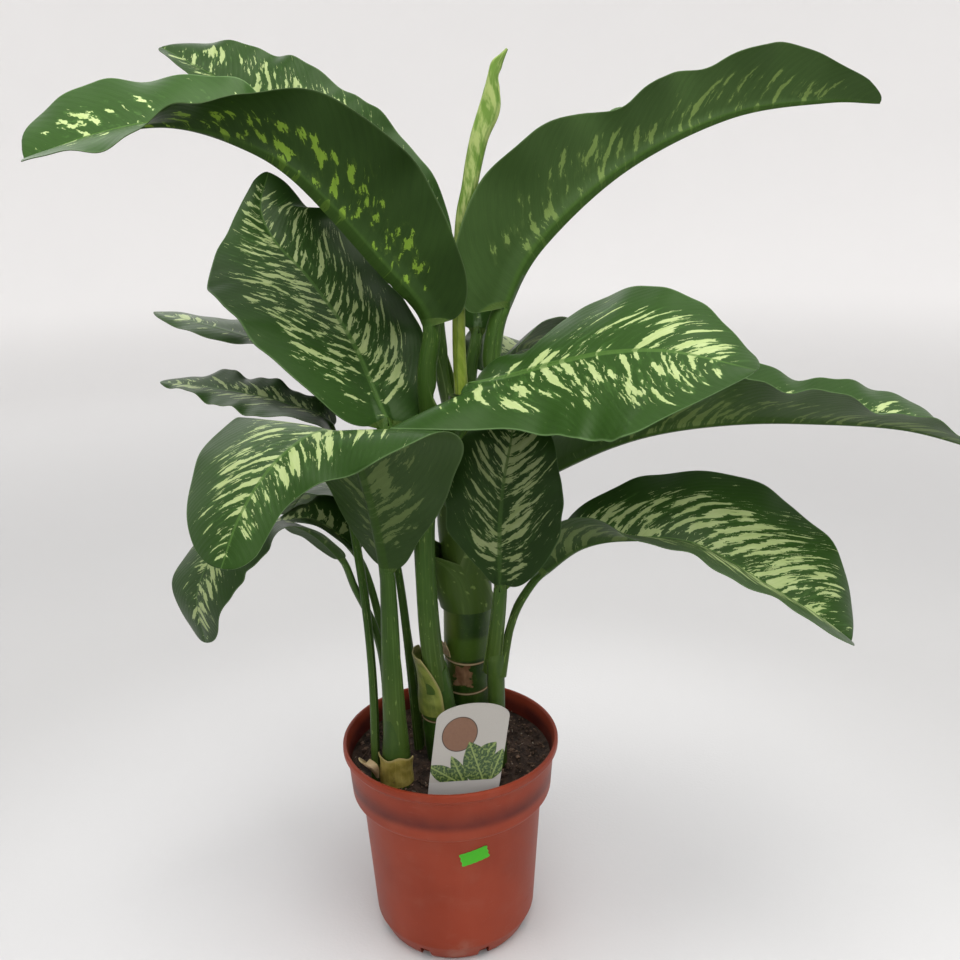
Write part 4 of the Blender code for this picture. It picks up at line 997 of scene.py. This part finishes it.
def build_spear():
    """The rolled leaf: a flattened tube whose outer edge laps over in a slow spiral."""
    line = catmull(SPEAR, 10)
    angle = round_angles(64)
    lap = np.radians(-120) + (line[:, 2:3] - 0.543) * 5.0
    past = (angle[None, :] - lap) % (2 * math.pi)
    step = 1 + 0.14 * (1 - past / (2 * math.pi)) - 0.07
    step = step + 0.05 * waves(61, np.cos(angle)[None, :] * 2, line[:, 2:3] * 30)
    obj = tube_mesh("spear_leaf_detail", line, 1, angle, step, spear_material())
    seam = np.exp(-(past / 0.16) ** 2)
    add_attribute(obj, "wrap", spread_over(past.shape, angle * 0.01, line[:, 2:3], seam))
    face_outwards(obj)
    place(obj, "new_leaf", "spear_leaf")


# ---------------------------------------------------------------- pot and soil

def rounded(profile, radius, steps=3):
    """A profile of (radius, height) points with its corners cut to short curves."""
    points = [np.array(p, float) for p in profile]
    result = [points[0]]
    for before, corner, after in zip(points, points[1:], points[2:]):
        back = before - corner
        ahead = after - corner
        reach = min(radius, 0.45 * np.linalg.norm(back), 0.45 * np.linalg.norm(ahead))
        start = corner + back / np.linalg.norm(back) * reach
        end = corner + ahead / np.linalg.norm(ahead) * reach
        for k in range(steps + 1):
            t = k / steps
            result.append(start * (1 - t) ** 2 + corner * 2 * t * (1 - t) + end * t * t)
    result.append(points[-1])
    return np.array(result)


def lathe_points(profile, sides):
    angle = round_angles(sides)
    radius = profile[:, :1]
    return spread_over((len(profile), sides), radius * np.cos(angle), radius * np.sin(angle), profile[:, 1:2])


def pot_material():
    """Thin moulded terracotta plastic: soft sheen, faint flow streaks, dust, scuffs and painted shade on the
    inner wall above the soil.
    """
    g = Graph("pot_plastic_skin", specular=0.15)
    at = g.position()
    x, y, z = g.split(at)
    cloud = g.noise(at, 14.0, 3.0)
    flow = g.noise(g.vector(x * 30, y * 30, z * 5), detail=3.0)
    orange = g.noise(at, 900.0, 2.0)
    scuff = g.smooth(g.noise(g.vector(x * 60, y * 60, z * 300), detail=4.0, rough=0.7), 0.63, 0.72)
    colour = g.mix(g.smooth(cloud, 0.3, 0.7), (0.235, 0.034, 0.013), (0.285, 0.046, 0.020))
    colour = g.mix(g.smooth(flow, 0.5, 0.8) * 0.35, colour, (0.315, 0.068, 0.036))
    low = g.smooth(z, 0.05, 0.0)
    dust = g.smooth(g.noise(at, 45.0, 4.0), 0.50, 0.75) * (low * 0.4 + 0.06)
    colour = g.mix(dust, colour, (0.360, 0.200, 0.150))
    colour = g.mix(scuff * 0.12, colour, (0.400, 0.160, 0.110))
    # Painted shade on the inner wall above the soil, in uneven patches.
    inner = g.smooth(g.math("SQRT", x * x + y * y), 0.1005, 0.0985) * g.smooth(z, 0.16, 0.17)
    inner_shade = g.smooth(g.noise(at, 30.0, 3.0), 0.35, 0.6) * 0.25 + 0.70
    colour = g.mix(inner_shade * inner, colour, (0.075, 0.014, 0.012))
    rough = cloud * 0.16 + 0.34 + scuff * 0.15 + dust * 0.3
    return g.finish(colour, rough, orange * 0.25 + cloud * 0.4 + scuff * 0.2, 0.0004)


def build_pot():
    outer = rounded(POT_OUTER, 0.0018)
    inner = rounded(POT_INNER, 0.0012)
    profile = np.concatenate([outer, inner])
    count = len(profile)
    pot = make_mesh("pot_detail", lathe_points(profile, POT_SIDES), ring_faces(count, POT_SIDES),
                    [pot_material()], end_caps(count, POT_SIDES))
    face_outwards(pot)
    outline = rounded([(-0.006, -0.004), (-0.005, 0.0125), (0.005, 0.0125), (0.006, -0.004)], 0.003, 4)
    size = len(outline)
    cutters = []
    for k in range(FOOT_SLOTS):
        walls = [(radius, x, z) for radius in SLOT_REACH for x, z in outline]
        slot = make_mesh("slot_cutter", walls, ring_faces(2, size), [], end_caps(2, size))
        face_outwards(slot)
        slot.rotation_euler = (0.0, 0.0, math.radians((k + 0.5) * 360 / FOOT_SLOTS))
        cutters.append(slot)
        tool = pot.modifiers.new("slot_%d" % k, "BOOLEAN")
        tool.operation = "DIFFERENCE"
        tool.solver = "EXACT"
        tool.object = slot
    bpy.context.view_layer.update()
    graph = bpy.context.evaluated_depsgraph_get()
    cut = bpy.data.meshes.new_from_object(pot.evaluated_get(graph))
    pot.modifiers.clear()
    pot.data = cut
    cut.set_sharp_from_angle(angle=math.radians(40))
    for slot in cutters:
        bpy.data.objects.remove(slot, do_unlink=True)
    place(pot, "pot_plastic", "pot")


def soil_material():
    g = Graph("soil_skin", specular=0.25)
    at = g.position()
    tone, kind = g.attribute("grit")[:2]
    clump = g.noise(at, 90.0, 4.0, 0.7)
    fine = g.noise(at, 700.0, 4.0, 0.7)
    colour = g.mix(g.smooth(clump, 0.35, 0.65), (0.022, 0.014, 0.010), (0.078, 0.048, 0.034))
    colour = g.mix(g.smooth(fine, 0.55, 0.70) * 0.6, colour, (0.125, 0.080, 0.052))
    colour = g.mix(tone, colour, (0.260, 0.170, 0.115))
    colour = g.mix(kind, colour, (0.420, 0.350, 0.270))
    return g.finish(colour, fine * 0.2 + 0.70, clump + fine * 0.7, 0.0016)


def soil_lumps(x, y, *more):
    return sum(size * waves(seed, x * scale, y * scale) for seed, scale, size in LUMPS + more)


def build_soil():
    """A lumpy crumbled top with loose crumbs, bark bits, fibres and a few pale grains."""
    tops = 64
    radii = np.concatenate([np.linspace(0.002, SOIL_REACH, tops), [SOIL_REACH, 0.0955, 0.0860]])
    heights = np.concatenate([np.full(tops, SOIL_TOP), [SOIL_TOP - 0.006, 0.158, 0.150]])
    points = lathe_points(np.stack([radii, heights], 1), POT_SIDES)
    x, y = points[:tops, :, 0], points[:tops, :, 1]
    rise = 0.002 * smoothstep(0.06, 0.03, np.hypot(x, y)) - 0.001
    uneven = soil_lumps(x, y, (73, 620, 0.0008)) + rise
    points[:tops, :, 2] += uneven * smoothstep(0.0976, 0.090, np.hypot(x, y)) + 0.0004
    verts = points.reshape(-1, 3)
    faces = [tuple(face) for face in ring_faces(len(radii), POT_SIDES)] + end_caps(len(radii), POT_SIDES)
    seed_ball = bmesh.new()
    bmesh.ops.create_icosphere(seed_ball, subdivisions=1, radius=1.0)
    ball = np.array([v.co[:] for v in seed_ball.verts])
    ball_faces = np.array([[v.index for v in f.verts] for f in seed_ball.faces])
    seed_ball.free()
    random = np.random.default_rng(81)
    parts, marks = [verts], [np.zeros((len(verts), 3))]
    base = len(verts)
    for crumb in range(CRUMBS):
        reach = 0.0955 * math.sqrt(random.uniform(0, 1))
        turn = random.uniform(0, 2 * math.pi)
        size = 0.0007 + 0.0018 * random.uniform(0, 1) ** 3
        stretch = [size * random.uniform(low, high) for low, high in ((0.7, 1.9), (0.6, 1.1), (0.5, 0.9))]
        if random.uniform(0, 1) < 0.10:
            stretch = [0.0040 * random.uniform(0.8, 2.2), 0.0004, 0.0004]
        spin = Matrix.Rotation(random.uniform(0, 6.28), 3, "Z")
        spin = spin @ Matrix.Rotation(random.uniform(-0.5, 0.5), 3, "Y")
        rough = ball * (1 + 0.22 * random.uniform(-1, 1, (len(ball), 1)))
        spot = (rough * np.array(stretch)) @ np.array(spin).T
        px, py = reach * math.cos(turn), reach * math.sin(turn)
        spot = spot + np.array([px, py, SOIL_TOP + float(soil_lumps(px, py)) + 0.0006])
        pale = 1.0 if random.uniform(0, 1) < 0.045 else 0.0
        if pale:
            spot = (spot - spot.mean(0)) * 0.62 + spot.mean(0)
        parts.append(spot)
        marks.append(np.tile([random.uniform(0, 1) ** 2.5, pale, 0.0], (len(ball), 1)))
        faces += [tuple(face) for face in ball_faces + base]
        base += len(ball)
    obj = make_mesh("soil_detail", np.concatenate(parts), [], [soil_material()], faces, sharp=60.0)
    add_attribute(obj, "grit", np.concatenate(marks))
    face_outwards(obj)
    place(obj, "soil", "soil")


# ---------------------------------------------------------------- label and sticker

def label_point(across, up, out=0.0):
    lean = math.radians(LABEL_LEAN)
    x, y, z = LABEL_FOOT
    return (x + across + up * 0.15, y + up * math.sin(lean) - out * math.cos(lean),
            z + up * math.cos(lean) + across * 0.05)


# The leaf shapes printed on the card: centre across and up, turn in degrees, half length and half width.
PRINTED_LEAVES = (
    (0.027, 0.034, 75, 0.0150, 0.0080), (0.016, 0.045, 50, 0.0130, 0.0080),
    (-0.019, 0.027, 150, 0.0190, 0.0075), (-0.006, 0.028, 120, 0.0190, 0.0060),
    (0.010, 0.034, 115, 0.0250, 0.0130),
)


def label_material():
    """Glossy off-white card printed with a plain tan disc, plain leaf shapes and blank bands."""
    g = Graph("label_card_skin", specular=0.5, Coat_Weight=0.25, Coat_Roughness=0.15)
    across, up, front = g.attribute("card")
    face = (across, up, 0.0)
    paper = g.grain(face, 900, 900, detail=3.0)
    card = g.mix(paper, (0.385, 0.365, 0.335), (0.440, 0.420, 0.385))
    dx, dy = across + 0.0100, up - 0.0640
    far = g.math("SQRT", dx * dx + dy * dy)
    disc = g.mix(g.grain(face, 300, 300, 2.0), (0.160, 0.076, 0.040), (0.200, 0.098, 0.055))
    colour = g.mix(g.smooth(far, 0.0155, 0.0152) * front, card, disc)
    patch = g.grain(face, 420, 420, 6.0, detail=2.0)
    line = g.smooth(g.math("ABSOLUTE", far - 0.0157), 0.0006, 0.0003)
    colour = g.mix(line * front, colour, (0.060, 0.035, 0.022))
    for cx, cy, turn, long, wide in PRINTED_LEAVES:
        c, s = math.cos(math.radians(turn)), math.sin(math.radians(turn))
        u = (across - cx) * c + (up - cy) * s
        v = (up - cy) * c - (across - cx) * s
        shape = (u / long) * (u / long) + g.math("ABSOLUTE", v / wide)
        inside = g.smooth(shape, 1.0, 0.96) * front * g.smooth(up, 0.0200, 0.0205)
        stripe = g.math("SINE", (u - g.math("ABSOLUTE", v) * 0.9) * 1500 + paper * 5)
        tint = g.mix(g.smooth(stripe, 0.2, 0.9), (0.020, 0.056, 0.011), (0.055, 0.105, 0.022))
        tint = g.mix(g.smooth(patch, 0.52, 0.58), tint, (0.150, 0.210, 0.050))
        tint = g.mix(g.smooth(g.math("ABSOLUTE", v), 0.0009, 0.0004), tint, (0.210, 0.280, 0.080))
        colour = g.mix(inside, colour, tint)
    band = g.smooth(up, 0.0205, 0.0202) * front
    colour = g.mix(band, colour, (0.450, 0.440, 0.420))
    foot = g.smooth(up, 0.0040, 0.0036) * front
    colour = g.mix(foot, colour, (0.085, 0.095, 0.085))
    return g.finish(colour, paper * 0.12 + 0.28, paper, 0.0001)


def build_label():
    half = LABEL_WIDTH / 2
    side = [(-half * 0.10, -0.024), (-half * 0.28, -0.016), (-half * 0.28, -0.001), (-half * 0.60, 0.001),
            (-half * 0.96, 0.0025), (-half * 0.98, 0.020), (-half, 0.078)]
    arch = [(math.cos(a) * half, 0.078 + math.sin(a) * 0.0140) for a in np.linspace(math.pi, 0, 26)[1:-1]]
    outline = rounded(side + arch + [(-x, up) for x, up in reversed(side)], 0.0012, 2)
    thick = LABEL_THICKNESS / 2 - 0.0001
    inset = 0.00025
    middle = outline.mean(0)
    shrunk = outline + unit(middle - outline) * inset
    layers = [(shrunk, thick), (outline, thick - inset), (outline, inset - thick), (shrunk, -thick)]
    points = [label_point(x, up, out) for ring, out in layers for x, up in ring]
    size = len(outline)
    faces = [tuple(range(size)), tuple(reversed(range(3 * size, 4 * size)))]
    obj = make_mesh("plant_label_detail", points, ring_faces(4, size), [label_material()], faces, sharp=80)
    values = [(x, up, 1.0 if out > 0 else 0.0) for ring, out in layers for x, up in ring]
    add_attribute(obj, "card", values)
    face_outwards(obj)
    place(obj, "label_card", "plant_label")


def build_sticker():
    """Blank price sticker on the pot wall, with wavy cut ends."""
    width, height, thickness = STICKER_SIZE
    tilt = math.radians(STICKER_TILT)
    up, across = np.meshgrid(np.linspace(-0.5, 0.5, 21), np.linspace(-0.5, 0.5, 41), indexing="ij")
    wavy = 1 + 0.035 * np.cos(up * 2 * math.pi * 2.5)
    a = across * width * wavy
    b = up * height * (1 + 0.02 * np.cos(across * 2 * math.pi * 5))
    x = a * math.cos(tilt) - b * math.sin(tilt)
    z = STICKER_HEIGHT + a * math.sin(tilt) + b * math.cos(tilt)
    lift = 0.0006 * smoothstep(0.40, 0.5, across) * smoothstep(0.1, 0.5, up)
    (low_radius, low), (high_radius, high) = POT_OUTER[2:4]
    wall = low_radius + (z - low) * (high_radius - low_radius) / (high - low)
    radius = wall + 0.0004 + lift
    turn = math.radians(STICKER_TURN) + x / radius
    grid = np.stack([radius * np.cos(turn), radius * np.sin(turn), z], -1)
    g = Graph("green_sticker_skin", specular=0.35)
    over, along, edge = g.attribute("wrap")
    fibre = g.grain((over, along, 0.0), 2000, 2000, 1.0, detail=4.0)
    cloud = g.grain((over, along, 0.0), 200, 200, 7.0, detail=2.0)
    colour = g.mix(cloud, (0.040, 0.390, 0.004), (0.060, 0.460, 0.006))
    colour = g.mix(g.smooth(edge, 0.90, 1.0) * 0.5, colour, (0.120, 0.480, 0.080))
    skin = g.finish(colour, fibre * 0.2 + 0.42, fibre + cloud, 0.0002)
    edge_value = np.maximum(np.abs(across), np.abs(up)) * 2
    obj = sheet_piece("price_sticker_detail", grid, thickness * 0.6, skin, edge_value)
    place(obj, "green_sticker", "price_sticker")


# ---------------------------------------------------------------- studio

# The studio: flat floor radius, radius of the sweep up into the wall, and a hair's gap under the pot.
FLOOR_RADIUS = 3.2
COVE_RADIUS = 1.0
FLOOR_DROP = 0.0004


def build_stage():
    """A pale round studio: a flat floor that sweeps up into a wall all round, its colour graded as painted
    light.
    """
    profile = [(radius, 0.0) for radius in (0.02, 0.6, 1.4, 2.4, FLOOR_RADIUS)]
    profile += [(FLOOR_RADIUS + COVE_RADIUS * math.sin(t), COVE_RADIUS * (1 - math.cos(t)))
                for t in np.linspace(0.15, math.pi / 2, 12)]
    profile += [(FLOOR_RADIUS + COVE_RADIUS, height) for height in (2.0, 3.6)]
    profile = np.array(profile) - (0.0, FLOOR_DROP)
    sides = 96
    g = Graph("studio_paper", specular=0.2)
    at = g.position()
    cloud = g.noise(at, 2.5, 2.0)
    fine = g.noise(at, 300.0, 3.0)
    x, y, z = g.split(at)
    # Painted light: the floor is lighter by the pot to lift its cast shadow, darker beyond it, then lighter
    # far out and up the wall to make up for the weaker lamp light there.
    far = g.smooth(z, 0.0, 0.30)
    out = g.math("SQRT", x * x + y * y)
    ring = g.smooth(out, 0.15, 0.85)
    shadow_lift_tone = g.mix(cloud, (0.700, 0.702, 0.712), (0.720, 0.722, 0.730))
    open_tone = g.mix(cloud, (0.475, 0.474, 0.476), (0.490, 0.489, 0.490))
    rise = g.smooth(out, 1.2, 3.6)
    near_tone = g.mix(ring, shadow_lift_tone, g.mix(rise, open_tone, (0.740, 0.736, 0.735)))
    far_tone = g.mix(cloud, (0.900, 0.892, 0.892), (0.920, 0.912, 0.910))
    colour = g.mix(far, near_tone, far_tone)
    skin = g.finish(colour, fine * 0.1 + 0.75, fine, 0.0002)
    floor = make_mesh("studio_floor", lathe_points(profile, sides), ring_faces(len(profile), sides), [skin],
                      [tuple(range(sides))])


# Soft lights: name, place, the point each faces, size, power in watts and colour.
SOFT_LIGHTS = (
    ("overhead", (0.3, -0.4, 2.7), (0.0, 0.0, 0.4), (2.2, 1.8), 66.0, (1.0, 0.985, 0.96)),
    ("front_fill", (0.9, -2.6, 1.7), (0.0, 0.0, 0.35), (1.8, 1.4), 10.0, (0.97, 0.985, 1.0)),
    ("back_fill", (-1.2, 2.4, 2.0), (0.0, 0.0, 0.5), (1.8, 1.4), 12.0, (1.0, 1.0, 1.0)),
)
WORLD_STRENGTH = 0.78
# The camera's place, degrees it looks down, degrees it rolls, and its lens in millimetres.
CAMERA_AT = (0.034, -0.8375, 0.7086)
CAMERA_DOWN = 16.35
CAMERA_ROLL = -1.2
CAMERA_LENS = 36.11


def add_area(name, location, target, size, power, colour):
    data = bpy.data.lights.new(name, "AREA")
    data.shape = "RECTANGLE"
    data.size, data.size_y = size
    data.energy = power
    data.color = colour
    light = bpy.data.objects.new(name, data)
    light.location = location
    light.rotation_euler = (Vector(location) - Vector(target)).to_track_quat("Z", "Y").to_euler()
    light.visible_camera = False
    bpy.context.scene.collection.objects.link(light)


def build_studio():
    build_stage()
    world = bpy.data.worlds.new("studio_world")
    world.use_nodes = True
    back = world.node_tree.nodes["Background"]
    back.inputs["Color"].default_value = (1.0, 0.99, 0.985, 1.0)
    back.inputs["Strength"].default_value = WORLD_STRENGTH
    bpy.context.scene.world = world
    for settings in SOFT_LIGHTS:
        add_area(*settings)


def build_camera():
    data = bpy.data.cameras.new("camera")
    data.sensor_width = 36.0
    data.lens = CAMERA_LENS
    data.clip_start = 0.02
    camera = bpy.data.objects.new("camera", data)
    tilt = Matrix.Rotation(math.radians(90 - CAMERA_DOWN), 4, "X")
    roll = Matrix.Rotation(math.radians(CAMERA_ROLL), 4, "Z")
    camera.matrix_world = Matrix.Translation(CAMERA_AT) @ tilt @ roll
    bpy.context.scene.collection.objects.link(camera)
    bpy.context.scene.camera = camera


def main():
    build_camera()
    build_studio()
    materials = [upper_face_material(), under_face_material(), stalk_material()]
    clasping = [name for name in LEAVES if "clasp" in LOOKS[name]]
    clasping.sort(key=lambda name: -LEAVES[name]["stalk"][0][2])
    for name, leaf in LEAVES.items():
        order = clasping.index(name) if name in clasping else 0
        build_leaf(name, leaf, {**PLAIN_LOOK, **LOOKS[name]}, materials, order)
    build_canes()
    build_spear()
    build_pot()
    build_soil()
    build_label()
    build_sticker()
    bpy.context.scene.view_settings.view_transform = "Standard"


main()
